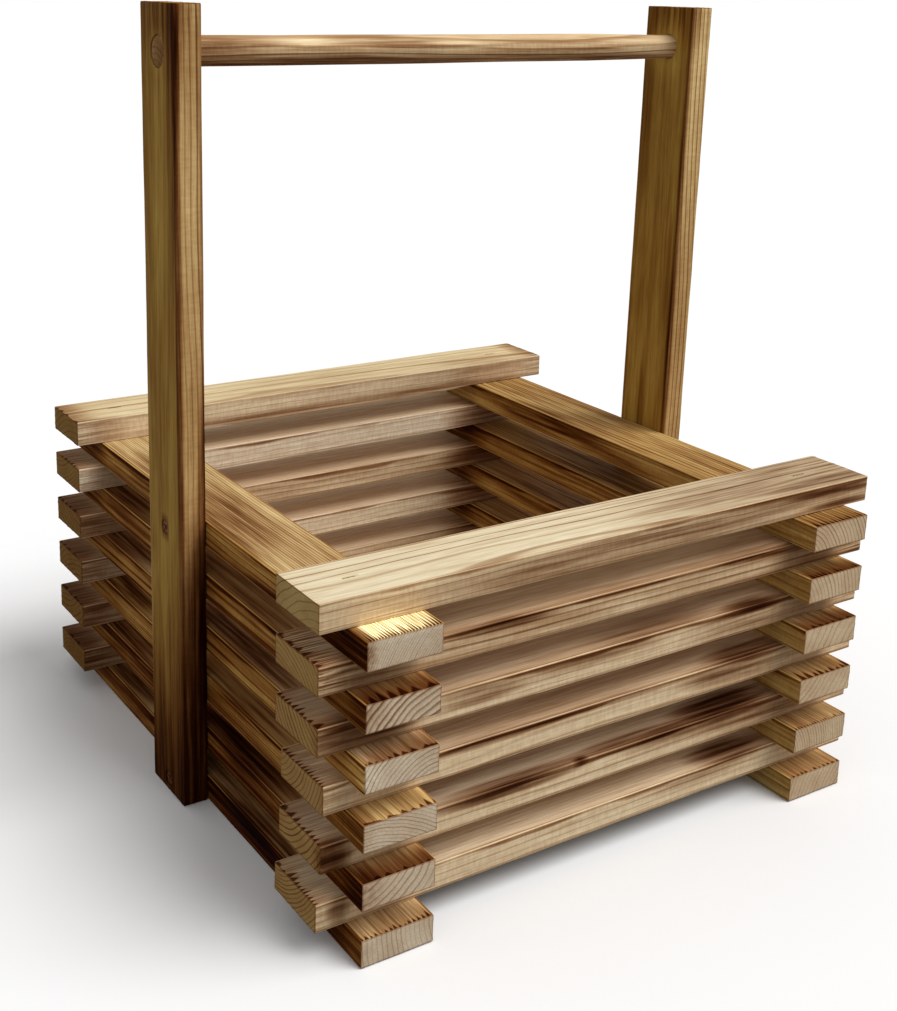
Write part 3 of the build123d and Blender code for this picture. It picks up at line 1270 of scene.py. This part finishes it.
    def rings(self, wall: str, row: int) -> Grain:
        """How a slat was sawn: as listed where its end shows, or else by lot.

        Args:
            wall: The slat's wall.
            row: Its row, from 1 at the rim down.

        Returns:
            Its grain.
        """
        slat, node = f"{wall}_{row}", f"{wall}_slat_{row}"
        by_row, by_length, by_letters = self.SEED
        seed = by_row * row + by_length * len(node) + sum(map(ord, node)) * by_letters
        lot = np.random.default_rng(int(seed * self.LOT_SEED))
        across, through = lot.uniform(*self.ACROSS_LOT), lot.uniform(*self.THROUGH_LOT) * lot.choice((-1, 1))
        drawn = (float(across), float(through), float(lot.uniform(*self.PITCH_LOT)), self.LOT_CONTRAST)
        by_hand = dict(enumerate(self.SAWN[wall], 1))
        grain = Grain(*by_hand.get(row, drawn), early=self.EARLY.get(slat, Grain.early), seed=seed)
        always, by_pitch = self.RELIEF
        return replace(grain, relief=always + by_pitch * grain.pitch, bow=self.SAGS.get(slat, 0.0))

    def flames(self, wall: str, row: int) -> tuple[CharAndShadeMark, ...]:
        """Where the torch dwelt on a slat, and where shade is painted on it.

        Args:
            wall: The slat's wall.
            row: Its row.

        Returns:
            Its torch marks and its marks of painted shade.
        """
        marks = [*self.MARKS.get(f"{wall}_{row}", ())]
        if wall in self.HEATS:
            marks += [(*place, heat) for place, heat in zip(self.PLACES[wall], self.HEATS[wall][row - 1])]
        if row > 1:
            marks += self.LOWER_MARKS.get(wall, ())
        return tuple(CharAndShadeMark(*mark) for mark in marks)

    def slots(self, wall: str, row: int) -> list[bpy.types.Object]:
        """The open staple slots of a top slat.

        Args:
            wall: The slat's wall.
            row: Its row.

        Returns:
            The shapes to cut, none below the rim.
        """
        if row != 1 or wall not in ("front", "back"):
            return []
        length, width, depth = (size * MM for size in self.crown)
        cutters = []
        for side in SIDES:
            x, y, _ = middle_of(f"corner_staples_{wall}_{side}")
            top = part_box(f"{wall}_slat_{row}")[1].z
            bpy.ops.mesh.primitive_cube_add(size=1.0, location=(x, y, top))
            cutters.append(bpy.context.object)
            cutters[-1].scale = (length, width, 2 * depth)
        return cutters

    def build(self) -> None:
        """Makes all twenty-four slats."""
        finishes = {"front": self.front, "back": self.back, "left": self.left, "right": self.right}
        for wall, pine_of_wall in finishes.items():
            lay = Lay.ALONG_SIDE if wall in SIDES else Lay.ALONG_FRONT
            for row in ROWS:
                pine = replace(pine_of_wall, **self.CHANGES.get(f"{wall}_{row}", {}))
                marks = self.flames(wall, row)
                batten = Batten(f"{wall}_slat_{row}", lay, self.rings(wall, row), pine, marks)
                self.workshop.batten(batten, self.slots(wall, row))


@dataclass
class Floor:
    """The five floor slats between the walls.

    Attributes:
        workshop: Makes the battens.
        pine: Their finish.
        grain: How a slat in front of the first one would be sawn.
        across: How much further across the log each slat is than the one before, in millimetres.
        pitch: How much wider its rings are, in millimetres.
    """

    workshop: Workshop
    pine: Pine = Pine(heat=0.12, rim=0.5, tooth=5.0)
    grain: Grain = Grain(-40.0, -48.0, 2.4, 0.8, 0.2, 71.0)
    across: float = 14.0
    pitch: float = 0.3

    def build(self) -> None:
        """Makes the floor slats."""
        for row in FLOOR_ROWS:
            across, pitch = self.grain.across + self.across * row, self.grain.pitch + self.pitch * row
            grain = replace(self.grain, across=across, pitch=pitch, seed=self.grain.seed + row)
            self.workshop.batten(Batten(f"floor_slat_{row}", Lay.ALONG_FRONT, grain, self.pine))


def screw_places(side: str, sunk: float = 0.0) -> list[tuple[float, float, float, float]]:
    """Where an upright's two screws go in from its outer face.

    Args:
        side: left or right.
        sunk: How deep inside the face, in metres.

    Returns:
        Each one's place in metres, and its turn about Z.
    """
    low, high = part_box(side + "_upright_screws")
    upright_low, upright_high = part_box(side + "_upright")
    half = SCREW_HEAD / 2 * MM
    x, turn = (upright_low.x + sunk, 0.0) if side == "left" else (upright_high.x - sunk, math.pi)
    return [(x, 0.0, z, turn) for z in (low.z + half, high.z - half)]


@dataclass
class Uprights:
    """The two uprights of the handle.

    Attributes:
        workshop: Makes the battens.
        pine: Their finish.
        fit: Clearance round the dowel's ends, in millimetres.
        overshoot: How far a hole's cutter stands out of the wood, in millimetres.
        bore_turns: Points round the dowel's hole.
        sink_turns: Points round a screw's hole.
        sink: Places from the outer face and radii of a screw's hole, in millimetres.
    """

    workshop: Workshop
    # The wide colour, on the faces turned to -X and +X, is darker and more olive than the narrow one: partly
    # the wood, and partly a painted warm tint of the light on the face turned to -X
    pine: Pine = Pine(
        wide=(206, 171, 84), narrow=(232, 200, 140), end=(190, 150, 95), lines=0.12, edge_lines=0.9,
        heat=0.32, edge_heat=0.22, fleck=0.6, rim=0.0, tooth=0.0, brim=0.1, wear=0.25,
    )
    fit: float = 0.35
    overshoot: float = 1.0
    bore_turns: int = 48
    sink_turns: int = 40
    sink: tuple[tuple[float, float], ...] = ((-1.0, 4.6), (1.5, 4.6), (3.7, 2.4))
    BORES = {"left": 9.0, "right": 8.0}
    GRAINS = {
        "left": Grain(12.0, -40.0, 2.7, 1.0, 0.18, 91.0),
        "right": Grain(12.0, 34.0, 2.7, 1.0, 0.18, 57.0),
    }
    # Where the torch dwelt, as Flame takes it. The small ovals at the screws are painted shade in their
    # holes, and the left upright's large ovals low on its outer and front faces darken it towards the bottom
    MARKS = {
        "left": (
            # These first ovals, and those at -235 and -244 along on the outer face, darken the upright
            # towards the bottom
            ((-200, -23, -3), (150, 14, 13), 1.5), ((-120, -23, -8), (140, 9, 6), 1.4),
            ((-235, 0, 8.5), (110, 50, 10), 0.8), ((246, 0, 8.5), (45, 60, 10), 0.5),
            ((-244, 0, 8.5), (60, 50, 10), 0.55), ((110, 0, 8.5), (130, 40, 6), -0.12),
            ((150, -23, 0), (60, 5, 12), -0.12), ((50, -23, 8.5), (270, 2.8, 3.4), 1.3),
            # The oval at -65.5 along on the next line, and the one at -235.5 after it, are painted shade in
            # the screw holes
            ((215, -22, 8.5), (60, 3.6, 3.6), 1.2), ((-65.5, 0, 8.5), (5.5, 5.5, 6), 1.6),
            ((-235.5, 0, 8.5), (5.5, 5.5, 6), 1.2), ((180, -17, 8.5), (90, 8, 3), 0.5),
            ((50, -23, -8.5), (270, 2.6, 2.6), 0.6), ((217, 0, 8.5), (14, 14, 4), -0.35),
        ),
        "right": (
            ((245, 0, 8.5), (34, 60, 10), 0.45), ((-50, 2, 8.5), (60, 5, 3), 0.55),
            ((60, 0, 8.5), (70, 5, 3), 0.2), ((217, 0, 8.5), (24, 20, 4), -0.35),
            # The oval at -65.5 along on the next line, and the one at -235.5 after it, are painted shade in
            # the screw holes
            ((200, -23, 0), (110, 5, 14), -0.25), ((-65.5, 0, -8.5), (5.5, 5.5, 6), 1.4),
            ((-235.5, 0, -8.5), (5.5, 5.5, 6), 1.4), ((150, 22, 8.5), (70, 9, 8), 0.45),
            ((-40, 23, 8.5), (200, 3, 5), 0.3), ((40, -22, 8.5), (270, 3, 3), 0.9),
        ),
    }

    def build(self) -> None:
        """Makes both uprights."""
        for side in SIDES:
            marks = tuple(CharAndShadeMark(*mark) for mark in self.MARKS[side])
            batten = Batten(side + "_upright", Lay.UPRIGHT, self.GRAINS[side], self.pine, marks)
            self.workshop.batten(batten, self.holes(side))

    def holes(self, side: str) -> list[bpy.types.Object]:
        """The dowel's hole and the screws' holes of one upright.

        Args:
            side: left or right.

        Returns:
            The shapes to cut.
        """
        low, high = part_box(side + "_upright")
        middle = middle_of("handle_dowel")
        beyond = high.x - low.x + self.overshoot * MM
        radius = self.BORES[side] * MM + self.fit * MM
        through = Matrix.Translation((low.x, middle.y, middle.z))
        bore = [(-self.overshoot * MM, radius), (beyond, radius)]
        cutters = [lathe("dowel_hole", bore, self.bore_turns, through)]
        sink = [(x * MM, r * MM) for x, r in self.sink]
        for *place, turn in screw_places(side):
            seat = Matrix.Translation(place) @ Matrix.Rotation(turn, 4, "Z")
            cutters.append(lathe("screw_hole", [*sink, (beyond, sink[-1][1])], self.sink_turns, seat))
        return cutters


@dataclass
class Dowel:
    """The whittled grip, thinner towards the right. Lengths in millimetres.

    Attributes:
        workshop: Gives the pine shader.
        pine: Its finish.
        grain: How it was split from the log.
        turns: Points in a circle.
        rows: Circles along it.
        inset: How far its ends stay inside the uprights.
        bevel: Bevel of its ends.
        thinner: How much less its radius is at the right.
        taper_from: Where it starts to thin, as a share of the way to the right upright.
        held: How far from the uprights the knife left it round.
        flats: How many flats the knife left round it.
        flat_depth: How deep they are.
        wave_depth: How deep the knife's waves are.
        nick_width: Half width of a long nick, in radians.
    """

    workshop: Workshop
    pine: Pine = Pine(
        wide=(236, 208, 164), narrow=(236, 208, 164), end=(172, 134, 74), lines=1.1, edge_lines=1.1,
        heat=0.1, edge_heat=0.1, fleck=1.3, end_heat=0.3, tooth=0.0, rim=0.0, wear=0.0, smoke=0.3,
    )
    grain: Grain = Grain(1.0, -14.0, 3.3, 0.4, seed=33.0)
    turns: int = 72
    rows: int = 150
    inset: float = 0.5
    bevel: float = 0.9
    thinner: float = 1.0
    taper_from: float = 0.6
    held: float = 6.0
    flats: int = 7
    flat_depth: float = 0.20
    wave_depth: float = 0.14
    nick_width: float = 0.09
    # How far and how fast the flats wind, how fast the waves come, and how far they lean
    FLAT_WIND = (2.2, 21.0)
    WAVE_RATE = 37.0
    WAVE_LEAN = 3.0
    # Angle, drift along the grip and depth of each long nick
    NICKS = ((1.9, 3.0, 0.5), (2.6, -2.0, 0.35), (0.9, 1.5, 0.4), (4.4, 2.0, 0.3))
    # Where the torch dwelt, as Flame takes it, and two long ovals that darken the grip's whole underside
    MARKS = (
        ((-168, 0, 0), (36, 14, 14), 0.5), ((-112, -5, 3), (30, 10, 7), -0.3),
        # The first oval on the next line darkens the underside over its left part
        ((-60, -2, -7), (150, 12, 5), 0.75), ((-142, -8, 3), (34, 7, 5), 0.3),
        ((-50, -8, 3), (34, 7, 4), 0.4), ((0, -8, 3), (26, 7, 5), -0.25),
        # The first oval on the next line darkens the underside over its right part
        ((120, 0, -8), (90, 12, 4), 0.7), ((-100, -8, 1), (30, 4, 1.6), 0.9),
        ((-20, -8, 2), (50, 4, 1.2), 0.7), ((90, -8, -1), (60, 4, 1.4), 0.8),
    )

    def radii(self, x: np.ndarray, angle: np.ndarray) -> np.ndarray:
        """The grip's radius, with its flats and nicks.

        Args:
            x: Places along the grip, in metres.
            angle: Angles round it.

        Returns:
            Radii in metres.
        """
        low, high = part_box("handle_dowel")
        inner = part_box("right_upright")[0].x
        start = inner * self.taper_from
        share = np.clip((x - start) / (inner - start), 0.0, 1.0)
        radius = (high.z - low.z) / 2 - self.thinner * MM * share
        wind, wind_rate = self.FLAT_WIND
        flats = 0.5 - 0.5 * np.cos(self.flats * angle + wind * np.sin(x * wind_rate))
        waves = 0.5 + 0.5 * np.sin(x * self.WAVE_RATE + self.WAVE_LEAN * np.sin(2 * angle))
        cut_back = self.flat_depth * flats + self.wave_depth * waves
        for at, drift, deep in self.NICKS:
            away = np.angle(np.exp(1j * (angle - at - drift * x)))
            cut_back = cut_back + deep * np.exp(-((away / self.nick_width) ** 2))
        return radius - cut_back * MM * np.clip((inner - np.abs(x)) / (self.held * MM), 0.0, 1.0)

    def build(self) -> None:
        """Makes the grip with its bevelled ends."""
        middle = middle_of("handle_dowel")
        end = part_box("handle_dowel")[1].x - self.inset * MM
        bevel = self.bevel * MM
        stations = np.concatenate(([-end], np.linspace(-end + bevel, end - bevel, self.rows), [end]))
        angles = np.linspace(0.0, 2 * math.pi, self.turns, endpoint=False)
        x, angle = np.meshgrid(stations, angles, indexing="ij")
        radius = self.radii(x, angle)
        radius[[0, -1]] -= bevel
        points = np.stack([x, middle.y + radius * np.cos(angle), middle.z + radius * np.sin(angle)], axis=-1)
        piece = mesh_object("handle_dowel_whittled", points, tube_faces(len(stations), self.turns))
        marks = tuple(CharAndShadeMark(*mark) for mark in self.MARKS)
        batten = Batten("handle_dowel", Lay.ALONG_FRONT, self.grain, self.pine, marks)
        batten.scorch(piece)
        finish(piece, self.workshop.pine.make(batten), DOWEL_CREASE, "dowel_wood", "handle_dowel")


class StapleShape(Driven):
    """Bends staples out of flat wire, the crown's top at the origin."""

    NAME = "Driven staples"
    INPUTS = {"Geometry": ("Places",), "Float": ("crown", "leg", "point", "width", "thickness", "bend")}
    # Points of the wire: tip, start of the point and shoulder of one leg, and the same back again
    POINTS = 6
    # Counted from the middle, those beyond the first lie under a shoulder, beyond the second are tips
    LOW = 1.0
    TIP = 2.0
    # Thickness of a tip as a share of the wire's, and points that a shoulder is bent with
    TIP_SHARE = 0.25
    BEND_POINTS = 3
    # How round the wire's edges are, as a share of half its thickness
    WIRE_EASE = 0.5

    def one(self) -> Term:
        """Adds one staple.

        Returns:
            Its mesh.
        """
        nodes, given = self.nodes, self.given
        centred = nodes.add("GeometryNodeInputIndex") - (self.POINTS - 1) / 2
        rank = nodes.math("ABSOLUTE", centred)
        tip, low = (nodes.math("GREATER_THAN", rank, first) for first in (self.TIP, self.LOW))
        half_wire = given["thickness"] * 0.5
        stem = given["leg"] - given["point"] - half_wire
        drop = tip * given["point"] + (low * stem + half_wire)
        out = nodes.math("SIGN", centred) * (given["crown"] * 0.5 - half_wire)
        line = nodes.add("GeometryNodeMeshLine", {"Count": self.POINTS})
        bent = {"Geometry": line, "Position": nodes.join(out, 0.0, -drop)}
        curve = nodes.add("GeometryNodeMeshToCurve", {"Mesh": nodes.add("GeometryNodeSetPosition", bent)})
        sharp = {"Curve": curve, "Radius": tip * (self.TIP_SHARE - 1.0) + 1.0}
        curve = nodes.add("GeometryNodeSetCurveRadius", sharp)
        bend = {"Curve": curve, "Radius": given["bend"], "Count": self.BEND_POINTS, "Limit Radius": True}
        wire = {"Width": given["width"], "Height": given["thickness"]}
        section = nodes.add("GeometryNodeCurvePrimitiveQuadrilateral", wire, mode="RECTANGLE")
        eased = {"Curve": section, "Radius": half_wire * self.WIRE_EASE, "Count": 1}
        swept = {
            "Curve": nodes.add("GeometryNodeFilletCurve", bend, mode="POLY"),
            "Profile Curve": nodes.add("GeometryNodeFilletCurve", eased, mode="POLY"),
            "Fill Caps": True,
            "Scale": nodes.add("GeometryNodeInputRadius"),
        }
        return nodes.add("GeometryNodeCurveToMesh", swept)


@dataclass
class Staples:
    """The wire staples, one driven row a corner and one for the floor. Millimetres.

    Attributes:
        steel: Their material.
        crown: Width over the legs.
        leg: Length of a leg.
        point: Length of a leg's point.
        width: Width of the flat wire.
        thickness: Its thickness.
        bend: Radius of the shoulders.
        depth: How deep the crowns are sunk.
        layers: How many crossings a corner has.
    """

    steel: bpy.types.Material
    crown: float = 10.0
    leg: float = 29.7
    point: float = 2.0
    width: float = 1.5
    thickness: float = 1.2
    bend: float = 1.1
    depth: float = 0.5
    layers: int = 11

    def __post_init__(self) -> None:
        """Builds the tree once for all rows."""
        self.shape = StapleShape()

    def row(self, node: str, places: list[tuple[float, float, float, float]]) -> None:
        """Makes one row of staples.

        Args:
            node: The CAD node that it stands for.
            places: Each crown's middle in metres, and its turn.
        """
        sizes = {name: getattr(self, name) * MM for name in StapleShape.INPUTS["Float"]}
        piece = self.shape.drive(node + "_wire", places, sizes | {"Coat": self.steel})
        finish(piece, self.steel, STEEL_CREASE, "staple_wire", node)

    def build(self) -> None:
        """Makes the corners' rows and the floor's."""
        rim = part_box("front_slat_1")[1].z
        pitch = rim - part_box("left_slat_1")[1].z
        top = rim - self.depth * MM
        for node in (f"corner_staples_{wall}_{side}" for wall in ("front", "back") for side in SIDES):
            x, y, _ = middle_of(node)
            self.row(node, [(x, y, top - n * pitch, n % 2 * math.pi / 2) for n in range(self.layers)])
        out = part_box("floor_staples")[1].x - self.crown / 2 * MM
        rows = [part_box(f"floor_slat_{row}") for row in FLOOR_ROWS]
        places = [(x, (a.y + b.y) / 2, b.z - self.depth * MM, 0.0) for a, b in rows for x in (-out, out)]
        self.row("floor_staples", places)


class ScrewShape(Driven):
    """Winds a thread onto a turned screw body."""

    NAME = "Threaded screws"
    SIZES = ("core", "crest", "pitch", "smooth")
    INPUTS = {"Geometry": ("Places",), "Object": ("shank",), "Float": (*SIZES, "length")}
    # Points in a turn; the thread's line, as a share of the core's diameter, and what its end keeps
    POINTS = 16
    LINE = 0.46
    LINE_END = 0.8
    # Radius of the thread's four-sided wire, as a share of crest less core
    WIRE = 0.62
    WIRE_POINTS = 4

    def one(self) -> Term:
        """Adds one screw along X, its head's face at the origin.

        Returns:
            Its mesh.
        """
        nodes, given = self.nodes, self.given
        line = given["core"] * self.LINE
        spiral = {
            "Resolution": self.POINTS, "Rotations": given["length"] / given["pitch"],
            "Start Radius": line, "End Radius": line * self.LINE_END, "Height": given["length"],
        }
        place = {
            "Geometry": nodes.add("GeometryNodeCurveSpiral", spiral),
            "Translation": nodes.join(given["smooth"], 0.0, 0.0), "Rotation": (0.0, math.pi / 2, 0.0),
        }
        wire = {"Resolution": self.WIRE_POINTS, "Radius": (given["crest"] - given["core"]) * self.WIRE}
        swept = {
            "Curve": nodes.add("GeometryNodeTransform", place),
            "Profile Curve": nodes.add("GeometryNodeCurvePrimitiveCircle", wire),
            "Fill Caps": True,
        }
        shank = nodes.add("GeometryNodeObjectInfo", {"Object": given["shank"]}, "Geometry")
        thread = nodes.add("GeometryNodeCurveToMesh", swept)
        return nodes.add("GeometryNodeJoinGeometry", {0: [shank, thread]})


@dataclass
class Screws:
    """The countersunk screws that hold the uprights. Millimetres.

    Attributes:
        steel: Their material.
        rim: Height of the head's rim.
        ease: How far the rim's edge is eased.
        core: Diameter under the thread.
        crest: Diameter over the thread.
        pitch: Rise of the thread in one turn.
        smooth: Where the thread starts, from the head's face.
        plain: How much of the point has no thread.
        point: Length of the point.
        tip: How blunt the point is.
        sunk: How deep the head's face lies in the upright.
        turns: Points round the body.
        slant: Turn of the cross recess, in radians.
        recess: Depth, half length and half width of a recess' arm, outside and at its bottom.
    """

    steel: bpy.types.Material
    rim: float = 0.6
    ease: float = 0.15
    core: float = 3.1
    crest: float = 4.4
    pitch: float = 2.1
    smooth: float = 14.0
    plain: float = 4.0
    point: float = 5.0
    tip: float = 0.3
    sunk: float = 0.8
    turns: int = 32
    slant: float = 0.5
    recess: tuple[tuple[float, float, float], ...] = ((-1.0, 2.5, 0.55), (2.1, 1.1, 0.3))
    # The faces of a recess' arm, by its eight corners
    BLADE_FACES = [(0, 1, 3, 2), (4, 6, 7, 5), (0, 4, 5, 1), (2, 3, 7, 6), (0, 2, 6, 4), (1, 5, 7, 3)]

    def shank(self, length: float) -> bpy.types.Object:
        """Turns one screw's body and cuts its cross recess.

        Args:
            length: Its whole length, in metres.

        Returns:
            The body, its head's face at the origin.
        """
        head, core = SCREW_HEAD / 2 * MM, self.core / 2 * MM
        ease, tip = self.ease * MM, self.tip * MM
        profile = [
            (0.0, head - ease), (ease, head), (self.rim * MM, head), (self.rim * MM + head - core, core),
            (length - self.point * MM, core), (length - tip, tip),
        ]
        body = lathe("screw_body", profile, self.turns, Matrix.Identity(4))
        signs = [(y, z) for y in (-1, 1) for z in (-1, 1)]
        corners = [(x * MM, y * long * MM, z * wide * MM) for x, long, wide in self.recess for y, z in signs]
        blades = [mesh_object("recess", corners, self.BLADE_FACES) for _ in range(2)]
        for turn, blade in enumerate(blades):
            blade.data.transform(Matrix.Rotation(turn * math.pi / 2 + self.slant, 4, "X"))
        cut(body, blades)
        return body

    def build(self) -> None:
        """Makes both uprights' screws."""
        shape = ScrewShape()
        for side in SIDES:
            node = side + "_upright_screws"
            low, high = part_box(node)
            body = self.shank(high.x - low.x)
            sizes = {name: getattr(self, name) * MM for name in ScrewShape.SIZES}
            length = high.x - low.x - (self.smooth + self.plain) * MM
            values = sizes | {"shank": body, "length": length, "Coat": self.steel}
            piece = shape.drive(node + "_threaded", screw_places(side, self.sunk * MM), values)
            bpy.data.objects.remove(body)
            finish(piece, self.steel, STEEL_CREASE, "screw_steel", node)


@dataclass(frozen=True)
class Studio:
    """Camera, lamp, backdrop and floor. Angles in degrees.

    Attributes:
        azimuth: Which way the camera looks, from +Y towards +X.
        tilt: How far it looks down.
        roll: How far it leans.
        at: Where it stands, in metres.
        focal: Its focal length, in pixels of the photo.
        aim: Where it aims, in pixels of the photo.
        clip: From and up to where it sees, in metres.
        key: Direction towards the key lamp, as long as the lamp is strong.
        key_width: Width of the key lamp in the sky.
        fill: Strength of the backdrop as a light.
        ground: Size of the floor, and how far it lies under the box, in metres.
        bounce: How pale the floor is to the light.
    """

    azimuth: float = 31.87
    tilt: float = 14.41
    roll: float = -1.21
    at: tuple[float, float, float] = (-0.5240, -0.7572, 0.5035)
    focal: float = 1436.6
    aim: tuple[float, float] = (372.8, 346.2)
    clip: tuple[float, float] = (0.01, 50.0)
    key: tuple[float, float, float] = (0.26, -0.30, 0.58)
    key_width: float = 40.0
    fill: float = 0.45
    ground: tuple[float, float] = (40.0, 0.0002)
    bounce: float = 0.2

    def build(self) -> None:
        """Makes the camera, the light and the floor."""
        self.camera()
        self.light()
        self.floor()

    def camera(self) -> None:
        """Sets the photograph's viewpoint, with the off-centre framing of its crop."""
        azimuth, tilt, roll = (math.radians(angle) for angle in (self.azimuth, self.tilt, self.roll))
        flat = math.cos(tilt)
        ahead = Vector((math.sin(azimuth) * flat, math.cos(azimuth) * flat, -math.sin(tilt)))
        level = ahead.cross(Vector((0, 0, 1))).normalized()
        down = ahead.cross(level)
        right = math.cos(roll) * level + math.sin(roll) * down
        under = -math.sin(roll) * level + math.cos(roll) * down
        long_side = max(PICTURE_WIDTH, PICTURE_HEIGHT)
        data = bpy.data.cameras.new("camera")
        data.sensor_width = SENSOR
        data.lens = self.focal / long_side * SENSOR
        data.shift_x = (PICTURE_WIDTH / 2 - self.aim[0]) / long_side
        data.shift_y = (self.aim[1] - PICTURE_HEIGHT / 2) / long_side
        data.clip_start, data.clip_end = self.clip
        eye = bpy.data.objects.new("camera", data)
        bpy.context.scene.collection.objects.link(eye)
        axes = Matrix((right, -under, -ahead)).transposed()
        eye.matrix_world = Matrix.Translation(self.at) @ axes.to_4x4()
        bpy.context.scene.camera = eye

    def light(self) -> None:
        """Adds a soft key from the upper front right, and an even backdrop."""
        key = Vector(self.key)
        lamp = bpy.data.lights.new("key", "SUN")
        lamp.energy = math.pi * key.length
        lamp.angle = math.radians(self.key_width)
        sun = bpy.data.objects.new("key", lamp)
        sun.rotation_euler = key.to_track_quat("Z", "Y").to_euler()
        bpy.context.scene.collection.objects.link(sun)
        world = bpy.data.worlds.new("backdrop")
        world.use_nodes = True
        world.node_tree.nodes.clear()
        nodes = Nodes(world.node_tree)
        level = nodes.seen() * (1.0 - self.fill) + self.fill
        glow = nodes.add("ShaderNodeBackground", {"Color": WHITE, "Strength": level})
        nodes.node("ShaderNodeOutputWorld", {"Surface": glow})
        bpy.context.scene.world = world
        bpy.context.scene.view_settings.view_transform = "Standard"

    def floor(self) -> None:
        """Adds the plain pale floor, white to the camera and quiet in its bounce."""
        size, drop = self.ground
        bpy.ops.mesh.primitive_plane_add(size=size, location=(0.0, 0.0, -drop))
        ground = bpy.context.object
        ground.name = "floor"
        material, nodes = new_material("floor")
        quiet = (self.bounce, self.bounce, self.bounce, 1.0)
        pale = nodes.add("ShaderNodeBsdfDiffuse", {"Color": nodes.mix(nodes.seen(), quiet, WHITE)})
        nodes.node("ShaderNodeOutputMaterial", {"Surface": pale})
        ground.data.materials.append(material)


def main() -> None:
    """Builds the dressed box in order: walls, floor, handle, fasteners and studio."""
    logging.basicConfig(level=logging.INFO, format="%(message)s")
    workshop = Workshop()
    for part in (SlatWalls, Floor, Uprights, Dowel):
        part(workshop).build()
    Staples(Metal("staple_wire", colour=(150, 132, 92), rough=0.7).make()).build()
    Screws(Metal("screw_steel", colour=(98, 56, 16), rough=0.65).make()).build()
    Studio().build()


if __name__ == "__main__":
    main()
